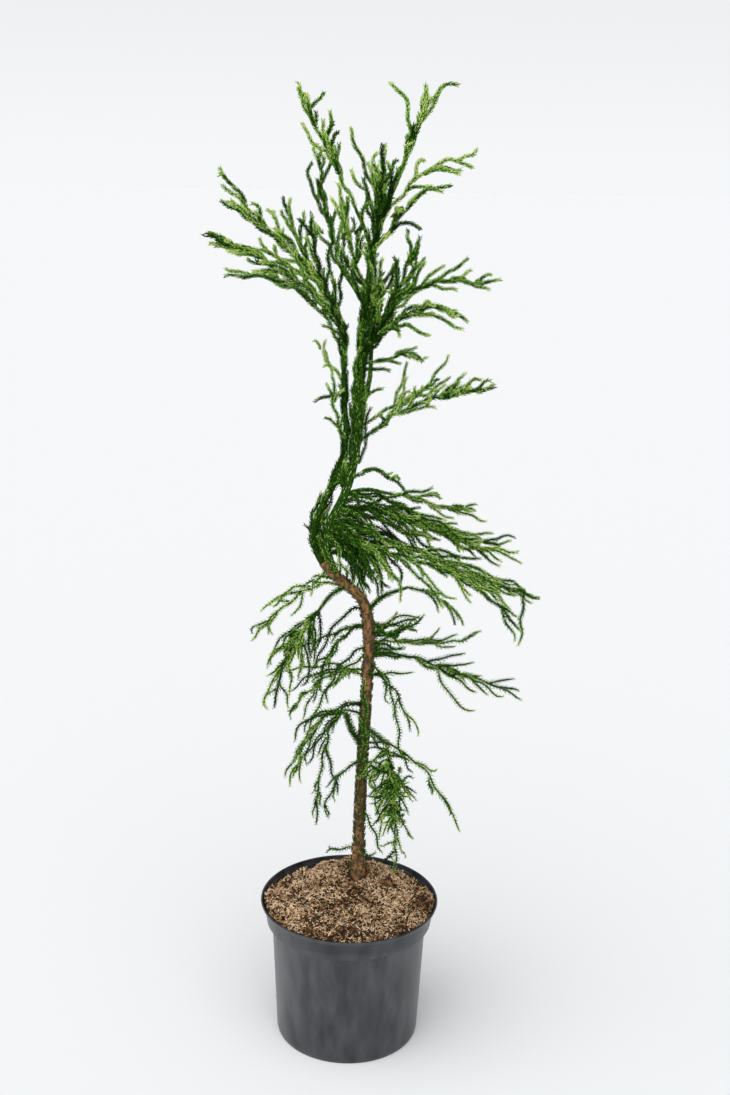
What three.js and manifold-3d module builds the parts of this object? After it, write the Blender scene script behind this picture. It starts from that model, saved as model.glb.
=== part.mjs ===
// Potted cryptomeria (Japanese cedar): a young plant with a crooked trunk, a green leader,
// whip-like shoots that carry short needles, and a black nursery pot filled with bark compost.
// Millimetres, +Z up, front towards -Y. The origin is the middle of the pot's flat underside.
import * as THREE from 'three';
import { mergeVertices } from 'three/addons/utils/BufferGeometryUtils.js';
import Module from 'manifold-3d';

const wasm = await Module();
wasm.setup();

// ---------------------------------------------------------------- driving sizes

const GAP = 0.36; // clear space between neighbouring solids

const POT = {
  height: 177,
  rimRadius: 109, // outside of the flared rim band, at its top
  bandFoot: 101.5, // outside of the band, at its lower edge
  bandHeight: 28,
  shoulder: 95.5, // wall right under the band
  footRadius: 88, // wall right above the chamfered foot
  footHeight: 4,
  baseRadius: 87,
  wall: 2,
  ledge: [1, 5], // ends of the slope inside the band's foot, above the band's lower edge
  lip: 1.2, // chamfer of the rim
  floor: 3,
  segments: 40,
};

const SOIL = {
  crest: 198, // level spot that the trunk rises from
  flatRadius: 14,
  frontEdge: 173, // height of the compost against the front wall
  backEdge: 160, // and where it has sunk, left and right at the back
  rings: 6,
  slump: 0.5, // below 1 the mound is fuller
  sag: 2, // how quickly the edge sinks towards the back
  wallGap: 0.5, // level space between compost and wall
};

// Limbs run smoothly through the places in `through`. A limb that has a `limb` starts inside
// that one, at the height `from`. `radii` is the radius at its foot, at even steps, at its tip.
const LIMBS = {
  trunk: {
    sides: 10,
    through: [
      [10, 15, 190], [11, 13, 300], [15, 9, 430], [17, 8, 520], [8, 7, 560], [-20, 4, 587],
      [-42, 3, 612], [-48, 3, 645], [-30, 3, 695], [-15, 3, 740], [-17, 4, 810], [-18, 7, 880],
    ],
    radii: [10, 6.4, 5.8, 5.6, 6, 7.2, 6, 5.4, 4.2, 3.8, 3.4, 3],
  },
  leader: {
    limb: 'trunk', from: 590, sides: 8,
    through: [
      [-33, -6, 625], [-30, -8, 655], [-14, -7, 690], [-3, -5, 735], [0, -5, 810],
      [6, -6, 890], [12, -5, 960], [24, -3, 1005], [42, 0, 1050],
    ],
    radii: [5, 6.2, 6, 5.4, 4.6, 3.8, 2.8],
  },
  bough_fan: {
    limb: 'leader', from: 770, sides: 6,
    through: [[11, 9, 815], [15, 15, 865], [36, 26, 900]],
    radii: [3.2, 2.6],
  },
  bough_left_up: {
    limb: 'leader', from: 900, sides: 6,
    through: [[-8, 10, 920], [-26, 18, 945]],
    radii: [2.8, 2.3],
  },
  bough_top_left: {
    limb: 'leader', from: 955, sides: 6,
    through: [[4, 9, 980], [-8, 15, 1005]],
    radii: [2.6, 2.2],
  },
  bough_tail: {
    limb: 'leader', from: 650, sides: 6,
    through: [[0, -20, 653], [40, -25, 640]],
    radii: [3.2, 2.6],
  },
  bough_tail_high: {
    limb: 'leader', from: 690, sides: 6,
    through: [[10, 8, 692], [35, 22, 685]],
    radii: [3, 2.5],
  },
  bough_arch: {
    limb: 'trunk', from: 545, sides: 6,
    through: [[32, -5, 568], [60, -15, 583]],
    radii: [2.8, 2.2],
  },
  bough_long: {
    limb: 'trunk', from: 493, sides: 6,
    through: [[45, -8, 500]],
    radii: [3.2, 2.6],
  },
  bough_left_arc: {
    limb: 'trunk', from: 578, sides: 6,
    through: [[-28, -10, 570], [-42, -14, 552]],
    radii: [2.8, 2.3],
  },
  bough_low_left: {
    limb: 'trunk', from: 372, sides: 6,
    through: [[0, -5, 400], [-8, -20, 428]],
    radii: [3.4, 2.6],
  },
  bough_low_right: {
    limb: 'trunk', from: 400, sides: 6,
    through: [[42, -20, 390]],
    radii: [2.8, 2.2],
  },
};

// A spray is one mass of foliage: a stem and the shoots that grow from it by a seeded rule.
// The stem starts in `limb`, at the height `from` or at the limb's tip, and ends at `tip`.
// `leave` and `end` are its slopes above the level, in degrees. It bears `count` shoots, the
// longest `longest` mm, that spread `spread` degrees from it and end at the slope `lean`.
const SPRAYS = {
  spray_top: {
    limb: 'leader', tip: [80, 0, 1128], leave: 75, end: 55,
    count: 2, longest: 62, spread: 24, lean: 78, girth: 7,
  },
  spray_top_left: {
    limb: 'bough_top_left', tip: [-70, 35, 1130], leave: 62, end: 70,
    count: 6, longest: 65, spread: 32, lean: 70, girth: 7,
  },
  spray_top_mid: {
    limb: 'leader', from: 962, tip: [20, -45, 1072], leave: 60, end: 88,
    count: 7, longest: 50, spread: 32, lean: 65, girth: 7,
  },
  spray_right_up: {
    limb: 'leader', from: 992, tip: [120, 45, 1050], leave: 50, end: -30,
    count: 4, longest: 50, spread: 30, lean: 0, girth: 7,
  },
  spray_right_arc: {
    limb: 'leader', from: 968, tip: [85, -50, 1030], leave: 35, end: -10,
    count: 3, longest: 45, spread: 35, lean: 10, girth: 6,
  },
  spray_left_up: {
    limb: 'bough_left_up', tip: [-50, 60, 1068], leave: 65, end: 88,
    count: 5, longest: 50, spread: 28, lean: 75, girth: 7,
  },
  spray_left_near: {
    limb: 'leader', from: 915, tip: [-19, -70, 1033], leave: 40, end: 82,
    count: 5, longest: 50, spread: 30, lean: 75, girth: 7,
  },
  spray_centre: {
    limb: 'leader', from: 885, tip: [12, -70, 988], leave: 35, end: 85,
    count: 5, longest: 45, spread: 30, lean: 75, girth: 8,
  },
  spray_left_fan: {
    limb: 'trunk', tip: [-152, 10, 1026], leave: 56, end: 42,
    count: 7, longest: 85, spread: 30, lean: 30, girth: 8,
  },
  spray_left_out: {
    limb: 'trunk', from: 866, tip: [-163, -60, 980], leave: 62, end: 25,
    count: 6, longest: 65, spread: 30, lean: 12, girth: 7,
  },
  spray_left_low: {
    limb: 'trunk', from: 850, tip: [-158, 85, 923], leave: 66, end: -15,
    count: 5, longest: 55, spread: 30, lean: 8, girth: 7,
  },
  spray_left_high: {
    limb: 'trunk', from: 872, tip: [-88, 95, 1012], leave: 60, end: 78,
    count: 5, longest: 60, spread: 28, lean: 65, girth: 8,
  },
  spray_left_front: {
    limb: 'trunk', from: 859, tip: [-54, -95, 1004], leave: 52, end: 75,
    count: 5, longest: 60, spread: 28, lean: 65, girth: 8,
  },
  spray_fan_high: {
    limb: 'leader', from: 872, tip: [60, -65, 979], leave: 30, end: 62,
    count: 7, longest: 60, spread: 32, lean: 60, girth: 8,
  },
  spray_fan_mid: {
    limb: 'bough_fan', tip: [144, 45, 918], leave: 45, end: -30,
    count: 7, longest: 60, spread: 38, lean: 25, girth: 8,
  },
  spray_fan_back: {
    limb: 'bough_fan', from: 882, tip: [64, 110, 953], leave: 25, end: 60,
    count: 5, longest: 55, spread: 32, lean: 50, girth: 8,
  },
  spray_fan_low: {
    limb: 'leader', from: 852, tip: [113, -60, 892], leave: 50, end: -50,
    count: 6, longest: 50, spread: 34, lean: -15, girth: 8,
  },
  spray_loop: {
    limb: 'leader', from: 838, tip: [72, -12, 848], leave: 10, end: -28,
    count: 3, longest: 45, spread: 35, lean: -30, girth: 6,
  },
  spray_right_limb: {
    limb: 'leader', from: 745, tip: [150, -20, 815], leave: 50, end: 5,
    count: 8, longest: 60, spread: 34, lean: 38, girth: 8,
  },
  spray_right_limb_up: {
    limb: 'leader', from: 765, tip: [102, 80, 839], leave: 30, end: 62,
    count: 3, longest: 45, spread: 34, lean: 50, girth: 6,
  },
  spray_left_brush: {
    limb: 'trunk', from: 752, tip: [-29, -35, 837], leave: 30, end: 95,
    count: 3, longest: 30, spread: 32, lean: 70, girth: 7,
  },
  spray_left_hook: {
    limb: 'trunk', from: 812, tip: [-46, 30, 858], leave: 45, end: 88,
    count: 2, longest: 32, spread: 35, lean: 30, girth: 5,
  },
  spray_tail_arch: {
    limb: 'leader', from: 705, tip: [70, 70, 663], leave: 40, end: -45,
    count: 2, longest: 45, spread: 35, lean: -20, girth: 7,
  },
  spray_tail_high: {
    limb: 'bough_tail_high', tip: [140, 45, 667], leave: -8, end: 20,
    count: 6, longest: 65, spread: 30, lean: -20, girth: 8,
  },
  spray_tail_back: {
    limb: 'leader', from: 672, tip: [188, 110, 610], leave: 5, end: 8,
    count: 7, longest: 80, spread: 32, lean: -25, girth: 8,
  },
  spray_tail_mid: {
    limb: 'leader', from: 664, tip: [188, 5, 621], leave: 24, end: 0,
    count: 9, longest: 80, spread: 30, lean: -25, girth: 9,
  },
  spray_tail: {
    limb: 'bough_tail', tip: [210, -40, 591], leave: -12, end: 5,
    count: 9, longest: 80, spread: 30, lean: -35, girth: 9,
  },
  spray_tail_low: {
    limb: 'leader', from: 640, tip: [184, -105, 564], leave: -8, end: -45,
    count: 8, longest: 75, spread: 30, lean: -45, girth: 8,
  },
  spray_tail_under: {
    limb: 'leader', from: 634, tip: [42, 25, 584], leave: 25, end: -70,
    count: 10, longest: 62, spread: 44, lean: -65, girth: 8,
  },
  spray_arch: {
    limb: 'bough_arch', tip: [118, -50, 557], leave: 8, end: -62,
    count: 4, longest: 45, spread: 34, lean: -50, girth: 7,
  },
  spray_arch_foot: {
    limb: 'trunk', from: 520, tip: [75, -65, 567], leave: 5, end: 55,
    count: 3, longest: 35, spread: 34, lean: 35, girth: 7,
  },
  spray_long: {
    limb: 'bough_long', tip: [192, -35, 466], leave: -5, end: -8,
    count: 8, longest: 60, spread: 32, lean: -12, girth: 8,
  },
  spray_long_up: {
    limb: 'trunk', from: 506, tip: [157, 75, 500], leave: 0, end: 22,
    count: 4, longest: 50, spread: 32, lean: 12, girth: 7,
  },
  spray_hang_right: {
    limb: 'trunk', from: 465, tip: [65, -70, 428], leave: 30, end: -68,
    count: 2, longest: 60, spread: 34, lean: -45, girth: 7,
  },
  spray_left_arc: {
    limb: 'bough_left_arc', tip: [-91, -65, 451], leave: -25, end: -82,
    count: 9, longest: 70, spread: 42, lean: -70, girth: 8,
  },
  spray_left_arc_out: {
    limb: 'trunk', from: 572, tip: [-129, 60, 491], leave: 25, end: -42,
    count: 7, longest: 65, spread: 36, lean: -45, girth: 8,
  },
  spray_left_mid: {
    limb: 'trunk', from: 530, tip: [-41, -40, 464], leave: 5, end: -78,
    count: 6, longest: 55, spread: 42, lean: -65, girth: 8,
  },
  spray_left_drop: {
    limb: 'trunk', from: 465, tip: [-79, 60, 395], leave: 15, end: -55,
    count: 5, longest: 50, spread: 34, lean: -65, girth: 7,
  },
  spray_low_left: {
    limb: 'bough_low_left', tip: [-67, -60, 364], leave: 35, end: -78,
    count: 6, longest: 55, spread: 30, lean: -72, girth: 8,
  },
  spray_low_deep: {
    limb: 'trunk', from: 412, tip: [-48, 50, 251], leave: 30, end: -82,
    count: 5, longest: 50, spread: 28, lean: -75, girth: 8,
  },
  spray_foot_left: {
    limb: 'trunk', from: 352, tip: [-33, -35, 301], leave: 20, end: -80,
    count: 3, longest: 40, spread: 28, lean: -72, girth: 7,
  },
  spray_front: {
    limb: 'trunk', from: 335, tip: [14, -25, 474], leave: 40, end: 92,
    count: 1, longest: 30, spread: 28, lean: 72, girth: 8,
  },
  spray_bush: {
    limb: 'bough_low_right', tip: [48, -58, 305], leave: -50, end: -88,
    count: 9, longest: 55, spread: 42, lean: -70, girth: 8,
  },
  spray_bush_out: {
    limb: 'trunk', from: 378, tip: [128, -25, 281], leave: 15, end: -68,
    count: 4, longest: 50, spread: 34, lean: -50, girth: 7,
  },
  spray_bush_long: {
    limb: 'trunk', from: 350, tip: [60, 12, 206], leave: 20, end: -78,
    count: 8, longest: 60, spread: 42, lean: -65, girth: 7,
  },
  spray_foot_back: {
    limb: 'trunk', from: 232, tip: [-32, 32, 222], leave: 20, end: -12,
    count: 2, longest: 24, spread: 35, lean: -5, girth: 6,
  },
};

// The seeded rule for the shoots of a spray.
const SHOOT = {
  firstShare: 0.14, // where the first may leave the stem, as a share of its length
  lastShare: 0.88,
  roll: 137.5, // degrees round the stem from one shoot to the next
  rollJitter: 40,
  tipLoss: 0.5, // how much shorter shoots get towards the stem's tip
  shortestShare: 0.65, // random shortening
  spreadJitter: 0.5,
  leanJitter: 30,
  girthShare: 0.8, // girth of a shoot as a share of its stem's
  tries: 4, // a shoot that would touch something is turned and tried again, then left out
  turn: 75,
  clearance: 1.2, // kept to limbs and to other sprays
  aboveSoil: 4,
};

const CORE_SHARE = 0.36; // radius of a shoot's solid core, as a share of its girth over needles
const TIP_SHARE = 0.5; // girth at a tip, as a share of that at the foot
const SHOOT_SIDES = 3;
const SHOOT_STEP = 28; // length of one step of a shoot's core
const LIMB_STEP = 22;
const SAMPLE_STEP = 5; // spacing of the places at which clearances are tested

const NEEDLE = { length: 8, radius: 1.1, lean: 40, spacing: 90, sides: 3 };

const LOOKS = {
  pot: { color: 0x3b3b3e, roughness: 0.45 },
  soil: { color: 0x9a7a56, roughness: 1 },
  bark: { color: 0x8a5a3e, roughness: 0.9 },
  greenBark: { color: 0x7d9a45, roughness: 0.7 },
};
const FOLIAGE = [0x3f6f35, 0x4d8038, 0x5b8f3f, 0x37632f].map((color) => ({ color, roughness: 0.7 }));

// ---------------------------------------------------------------- paths

const UP = new THREE.Vector3(0, 0, 1);
const ACROSS = new THREE.Vector3(1, 0, 0);
const STEEP = 0.9; // a direction whose climb is above this counts as upright
const CURVE_STEPS = 24; // per arc
const HANDLE_SHARE = 0.38; // length of an arc's handles, as a share of its chord
const SLOPE_REACH = 0.02; // share of the length, to each side, over which a direction is taken
const WELD = 1e-4; // corners closer than this are one

const radians = THREE.MathUtils.degToRad;
const place = (xyz) => new THREE.Vector3(...xyz);

// Repeatable random numbers (mulberry32).
function seededRandom(seed) {
  let state = seed >>> 0;
  return () => {
    state = (state + 0x6d2b79f5) >>> 0;
    let t = state;
    t = Math.imul(t ^ (t >>> 15), t | 1);
    t ^= t + Math.imul(t ^ (t >>> 7), t | 61);
    return ((t ^ (t >>> 14)) >>> 0) / 4294967296;
  };
}

// A line through closely spaced points, measured along its length.
class Path {
  constructor(points) {
    this.points = points;
    this.marks = [0];
    for (let i = 1; i < points.length; i++) {
      this.marks.push(this.marks[i - 1] + points[i].distanceTo(points[i - 1]));
    }
    this.length = this.marks[this.marks.length - 1];
  }

  at(share) {
    const along = Math.min(Math.max(share, 0), 1) * this.length;
    let i = 1;
    while (i < this.marks.length - 1 && this.marks[i] < along) i++;
    const span = this.marks[i] - this.marks[i - 1];
    return this.points[i - 1].clone().lerp(this.points[i], (along - this.marks[i - 1]) / span);
  }

  direction(share) {
    return this.at(share + SLOPE_REACH).sub(this.at(share - SLOPE_REACH)).normalize();
  }

  // The place where a rising path passes a height.
  atHeight(z) {
    const i = this.points.findIndex((point) => point.z >= z);
    if (i < 1) throw new Error(`no place at the height ${z}`);
    const share = (z - this.points[i - 1].z) / (this.points[i].z - this.points[i - 1].z);
    return this.points[i - 1].clone().lerp(this.points[i], share);
  }
}

// A direction square to another one.
function squareTo(ahead) {
  return new THREE.Vector3().crossVectors(ahead, Math.abs(ahead.z) < STEEP ? UP : ACROSS).normalize();
}

function slopeVector(heading, slope) {
  const level = Math.cos(slope);
  return new THREE.Vector3(level * Math.cos(heading), level * Math.sin(heading), Math.sin(slope));
}

// One smooth arc between two places, with its slopes above the level at both ends, in radians.
function arcPath(start, tip, leave, end) {
  const span = tip.clone().sub(start);
  const heading = Math.atan2(span.y, span.x);
  const handle = HANDLE_SHARE * span.length();
  const first = start.clone().addScaledVector(slopeVector(heading, leave), handle);
  const second = tip.clone().addScaledVector(slopeVector(heading, end), -handle);
  return new Path(new THREE.CubicBezierCurve3(start, first, second, tip).getPoints(CURVE_STEPS));
}

// ---------------------------------------------------------------- solids

function regularPolygon(sides) {
  const corners = [];
  for (let i = 0; i < sides; i++) {
    const angle = (2 * Math.PI * i) / sides;
    corners.push(new THREE.Vector2(Math.cos(angle), Math.sin(angle)));
  }
  return new THREE.Shape(corners);
}

// A closed prism bent along a path. `radiusAt` gives its radius at a share of the length, and
// `beyond` lengthens it straight on at both ends.
function bentPrism(path, { sides, step, radiusAt, beyond = 0 }) {
  const steps = Math.max(1, Math.round(path.length / step));
  const geometry = new THREE.ExtrudeGeometry(regularPolygon(sides), { depth: 1, steps, bevelEnabled: false });
  const rings = [];
  const side = new THREE.Vector3();
  for (let i = 0; i <= steps; i++) {
    const share = i / steps;
    const ahead = path.direction(share);
    if (i === 0) side.copy(squareTo(ahead));
    side.addScaledVector(ahead, -side.dot(ahead)).normalize();
    const centre = path.at(share);
    if (i === 0) centre.addScaledVector(ahead, -beyond);
    if (i === steps) centre.addScaledVector(ahead, beyond);
    const over = new THREE.Vector3().crossVectors(ahead, side);
    rings.push({ centre, side: side.clone(), over, radius: radiusAt(share) });
  }
  const position = geometry.attributes.position;
  for (let v = 0; v < position.count; v++) {
    const ring = rings[Math.round(position.getZ(v) * steps)];
    const point = ring.centre.clone()
      .addScaledVector(ring.side, position.getX(v) * ring.radius)
      .addScaledVector(ring.over, position.getY(v) * ring.radius);
    position.setXYZ(v, point.x, point.y, point.z);
  }
  return geometry;
}

function toSolid(geometry) {
  geometry.deleteAttribute('normal');
  geometry.deleteAttribute('uv');
  const merged = mergeVertices(geometry, WELD);
  return new wasm.Manifold(new wasm.Mesh({
    numProp: 3,
    vertProperties: new Float32Array(merged.attributes.position.array),
    triVerts: new Uint32Array(merged.index.array),
  }));
}

function toGeometry(solid) {
  const mesh = solid.getMesh();
  const geometry = new THREE.BufferGeometry();
  geometry.setAttribute('position', new THREE.BufferAttribute(Float32Array.from(mesh.vertProperties), 3));
  geometry.setIndex(new THREE.BufferAttribute(Uint32Array.from(mesh.triVerts), 1));
  geometry.computeVertexNormals();
  return geometry;
}

// Cuts leave loose scraps: the largest piece is the part.
function largestPiece(solid) {
  return solid.decompose().reduce((best, piece) => (piece.volume() > best.volume() ? piece : best));
}

// The value at a share of the way through evenly spaced values.
function between(values, share) {
  const along = Math.min(Math.max(share, 0), 1) * (values.length - 1);
  const i = Math.min(Math.floor(along), values.length - 2);
  return values[i] + (values[i + 1] - values[i]) * (along - i);
}

// ---------------------------------------------------------------- pot and compost

// Inside of the pot wall: radius and height at each change of its outline, from the floor up.
const BAND_BOTTOM = POT.height - POT.bandHeight;
const INSIDE = [
  [POT.baseRadius - POT.wall, POT.floor],
  [POT.footRadius - POT.wall, POT.footHeight],
  [POT.shoulder - POT.wall, BAND_BOTTOM + POT.ledge[0]],
  [POT.bandFoot - POT.wall, BAND_BOTTOM + POT.ledge[1]],
  [POT.rimRadius - POT.wall, POT.height],
];

function innerRadius(z) {
  const i = Math.max(1, INSIDE.findIndex(([, height]) => height >= z));
  const [low, bottom] = INSIDE[i - 1];
  const [high, top] = INSIDE[i];
  return low + ((high - low) * (z - bottom)) / (top - bottom);
}

function makePot() {
  const outside = [
    [0, 0], [POT.baseRadius, 0], [POT.footRadius, POT.footHeight], [POT.shoulder, BAND_BOTTOM],
    [POT.bandFoot, BAND_BOTTOM], [POT.rimRadius, POT.height - POT.lip], [POT.rimRadius - POT.lip, POT.height],
  ];
  const profile = [...outside, ...[...INSIDE].reverse(), [0, POT.floor]];
  const points = profile.map(([radius, height]) => new THREE.Vector2(radius, height));
  return new THREE.LatheGeometry(points, POT.segments).rotateX(Math.PI / 2);
}

// Height of the compost against the wall: full at the front, sunk left and right at the back.
function soilEdge(x, y) {
  const sunk = Math.min(1, Math.max(0, SOIL.sag * y) * Math.sqrt(Math.abs(x)));
  return SOIL.frontEdge + (SOIL.backEdge - SOIL.frontEdge) * sunk;
}

// A mound: rings from the wall close in on the trunk's foot.
function makeSoil() {
  const bottom = POT.floor + GAP;
  const profile = [new THREE.Vector2(0, bottom)];
  for (const [radius, height] of INSIDE.slice(0, -1)) {
    profile.push(new THREE.Vector2(radius - SOIL.wallGap, Math.max(height, bottom)));
  }
  const firstRing = profile.length;
  for (let ring = 0; ring <= SOIL.rings; ring++) {
    profile.push(new THREE.Vector2(1 - ring / SOIL.rings, SOIL.crest));
  }
  const geometry = new THREE.LatheGeometry(profile, POT.segments).rotateX(Math.PI / 2);
  const position = geometry.attributes.position;
  const [footX, footY] = LIMBS.trunk.through[0];
  for (let v = 0; v < position.count; v++) {
    const ring = (v % profile.length) - firstRing;
    if (ring < 0) continue;
    const turn = (2 * Math.PI * Math.floor(v / profile.length)) / POT.segments;
    const edge = soilEdge(Math.sin(turn), -Math.cos(turn));
    const wallRadius = innerRadius(edge) - SOIL.wallGap;
    const wallX = wallRadius * Math.sin(turn);
    const wallY = -wallRadius * Math.cos(turn);
    const width = Math.hypot(wallX - footX, wallY - footY);
    const inward = ring / SOIL.rings;
    const fromCrest = Math.max(0, width * (1 - inward) - SOIL.flatRadius);
    const rise = (1 - fromCrest / (width - SOIL.flatRadius)) ** SOIL.slump;
    const height = edge + (SOIL.crest - GAP - edge) * rise;
    position.setXYZ(v, wallX + (footX - wallX) * inward, wallY + (footY - wallY) * inward, height);
  }
  return geometry;
}

// ---------------------------------------------------------------- limbs

function limbPath(name) {
  const { limb, from, through } = LIMBS[name];
  const places = through.map(place);
  if (limb) places.unshift(limbPaths[limb].atHeight(from));
  const curve = new THREE.CatmullRomCurve3(places, false, 'centripetal');
  return new Path(curve.getPoints(CURVE_STEPS * (places.length - 1)));
}

const limbPaths = {};
for (const name of Object.keys(LIMBS)) limbPaths[name] = limbPath(name);

function limbTube(name, margin = 0) {
  const { sides, radii } = LIMBS[name];
  const radiusAt = (share) => between(radii, share) + margin;
  return toSolid(bentPrism(limbPaths[name], { sides, step: LIMB_STEP, radiusAt, beyond: margin }));
}

// Everything below the level cut at the trunk's foot.
function belowCrest() {
  const size = 2 * POT.rimRadius;
  return toSolid(new THREE.BoxGeometry(size, size, size).translate(0, 0, SOIL.crest - size / 2));
}

const limbClearances = {};
for (const name of Object.keys(LIMBS)) limbClearances[name] = limbTube(name, GAP);

function makeLimb(name) {
  const { limb } = LIMBS[name];
  return largestPiece(limbTube(name).subtract(limb ? limbClearances[limb] : belowCrest()));
}

// ---------------------------------------------------------------- sprays

// A shoot with its path, its radii, and the balls that stand for it in clearance tests.
function makeShoot(path, girth) {
  const radiusAt = (share) => CORE_SHARE * girth * (1 - (1 - TIP_SHARE) * share);
  const count = Math.max(2, Math.ceil(path.length / SAMPLE_STEP));
  const balls = [];
  for (let i = 0; i <= count; i++) balls.push({ centre: path.at(i / count), radius: radiusAt(i / count) });
  return { path, girth, radiusAt, balls };
}

function makeStem({ limb, from, tip, leave, end, girth }) {
  const support = limbPaths[limb];
  const start = from === undefined ? support.at(1) : support.atHeight(from);
  return makeShoot(arcPath(start, place(tip), radians(leave), radians(end)), girth);
}

const limbBalls = Object.keys(LIMBS).flatMap((name) => {
  const path = limbPaths[name];
  const count = Math.ceil(path.length / SAMPLE_STEP);
  return Array.from({ length: count + 1 }, (_, i) => (
    { centre: path.at(i / count), radius: between(LIMBS[name].radii, i / count) }
  ));
});

// Needles stand out of the core, so their reach counts too, except at the shoot's root.
function isClear(shoot, others) {
  const reach = SHOOT.clearance + NEEDLE.length * Math.sin(radians(NEEDLE.lean));
  return shoot.balls.every(({ centre, radius }, i) => {
    if (centre.z < SOIL.crest + SHOOT.aboveSoil) return false;
    const margin = radius + (i > 0 ? reach : 0);
    return others.every((other) => centre.distanceTo(other.centre) > margin + other.radius);
  });
}

// The shoot that leaves a stem at `share`, turned `roll` degrees round it.
function sideShoot(stem, share, roll, angle, length, lean, girth) {
  const ahead = stem.path.direction(share);
  const level = new THREE.Vector3().crossVectors(ahead, UP).normalize();
  const over = new THREE.Vector3().crossVectors(level, ahead);
  const out = ahead.multiplyScalar(Math.cos(angle))
    .addScaledVector(level, Math.sin(angle) * Math.cos(radians(roll)))
    .addScaledVector(over, Math.sin(angle) * Math.sin(radians(roll)));
  const leave = Math.asin(out.z);
  const heading = Math.atan2(out.y, out.x);
  const start = stem.path.at(share);
  const tip = start.clone().addScaledVector(slopeVector(heading, (leave + lean) / 2), length);
  return makeShoot(arcPath(start, tip, leave, lean), girth);
}

function growShoots(spray, stem, random, others) {
  const shoots = [];
  for (let i = 0; i < spray.count; i++) {
    const [along, rolled, long, wide, bent] = Array.from({ length: 5 }, random);
    const share = SHOOT.firstShare + ((SHOOT.lastShare - SHOOT.firstShare) * (i + along)) / spray.count;
    const roll = SHOOT.roll * i + SHOOT.rollJitter * (rolled - 0.5);
    const shortening = (1 - SHOOT.tipLoss * share) * (SHOOT.shortestShare + (1 - SHOOT.shortestShare) * long);
    const angle = radians(spray.spread * (1 + SHOOT.spreadJitter * (wide - 0.5)));
    const lean = radians(spray.lean + SHOOT.leanJitter * (bent - 0.5));
    for (let attempt = 0; attempt < SHOOT.tries; attempt++) {
      const girth = spray.girth * SHOOT.girthShare;
      const turned = roll + attempt * SHOOT.turn;
      const shoot = sideShoot(stem, share, turned, angle, spray.longest * shortening, lean, girth);
      if (!isClear(shoot, others)) continue;
      shoots.push(shoot);
      break;
    }
  }
  return shoots;
}

function shootCore({ path, radiusAt }) {
  return toSolid(bentPrism(path, { sides: SHOOT_SIDES, step: SHOOT_STEP, radiusAt }));
}

// Needles spiral up a shoot and lean towards its tip, their roots sunk in its core.
function needles(shoot) {
  const count = Math.floor(shoot.path.length / NEEDLE.spacing);
  const lean = radians(NEEDLE.lean);
  return Array.from({ length: count }, (_, i) => {
    const share = (i + 0.5) / count;
    const ahead = shoot.path.direction(share);
    const aside = squareTo(ahead).applyAxisAngle(ahead, radians(SHOOT.roll) * i);
    const out = ahead.multiplyScalar(Math.cos(lean)).addScaledVector(aside, Math.sin(lean));
    const cone = new THREE.ConeGeometry(NEEDLE.radius, NEEDLE.length, NEEDLE.sides);
    cone.translate(0, NEEDLE.length / 2, 0);
    cone.applyQuaternion(new THREE.Quaternion().setFromUnitVectors(new THREE.Vector3(0, 1, 0), out));
    const root = shoot.path.at(share);
    return toSolid(cone.translate(root.x, root.y, root.z));
  });
}

function makeSpray(shoots) {
  let solid = wasm.Manifold.union(shoots.flatMap((shoot) => [shootCore(shoot), ...needles(shoot)]));
  for (const clearance of Object.values(limbClearances)) solid = solid.subtract(clearance);
  return largestPiece(solid);
}

// ---------------------------------------------------------------- the plant

const plant = new THREE.Group();

function addPart(name, geometry, look) {
  const mesh = new THREE.Mesh(geometry, new THREE.MeshStandardMaterial({ ...look, metalness: 0 }));
  mesh.name = name;
  plant.add(mesh);
}

addPart('pot', makePot(), LOOKS.pot);
addPart('soil', makeSoil(), LOOKS.soil);
for (const name of Object.keys(LIMBS)) {
  const isBrown = name === 'trunk' || name.startsWith('bough_low');
  addPart(name, toGeometry(makeLimb(name)), isBrown ? LOOKS.bark : LOOKS.greenBark);
}

const names = Object.keys(SPRAYS);
const sprays = names.map((name) => [makeStem(SPRAYS[name])]);
names.forEach((name, i) => {
  const others = sprays.filter((_, j) => j !== i).flatMap((shoots) => shoots.flatMap(({ balls }) => balls));
  const stem = sprays[i][0];
  sprays[i].push(...growShoots(SPRAYS[name], stem, seededRandom(i + 1), [...limbBalls, ...others]));
  addPart(name, toGeometry(makeSpray(sprays[i])), FOLIAGE[i % FOLIAGE.length]);
});

export default plant;
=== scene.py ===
"""Looks of the potted cryptomeria: bark, needled shoots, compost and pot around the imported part.

Sizes are millimetres and angles are degrees, as in the part's source, until a mesh is made in
metres. +Z is up, the front is towards -Y, and the origin is the middle of the pot's underside.
"""

import math

import bpy
import numpy as np
from mathutils import Matrix, Vector, noise


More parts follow.
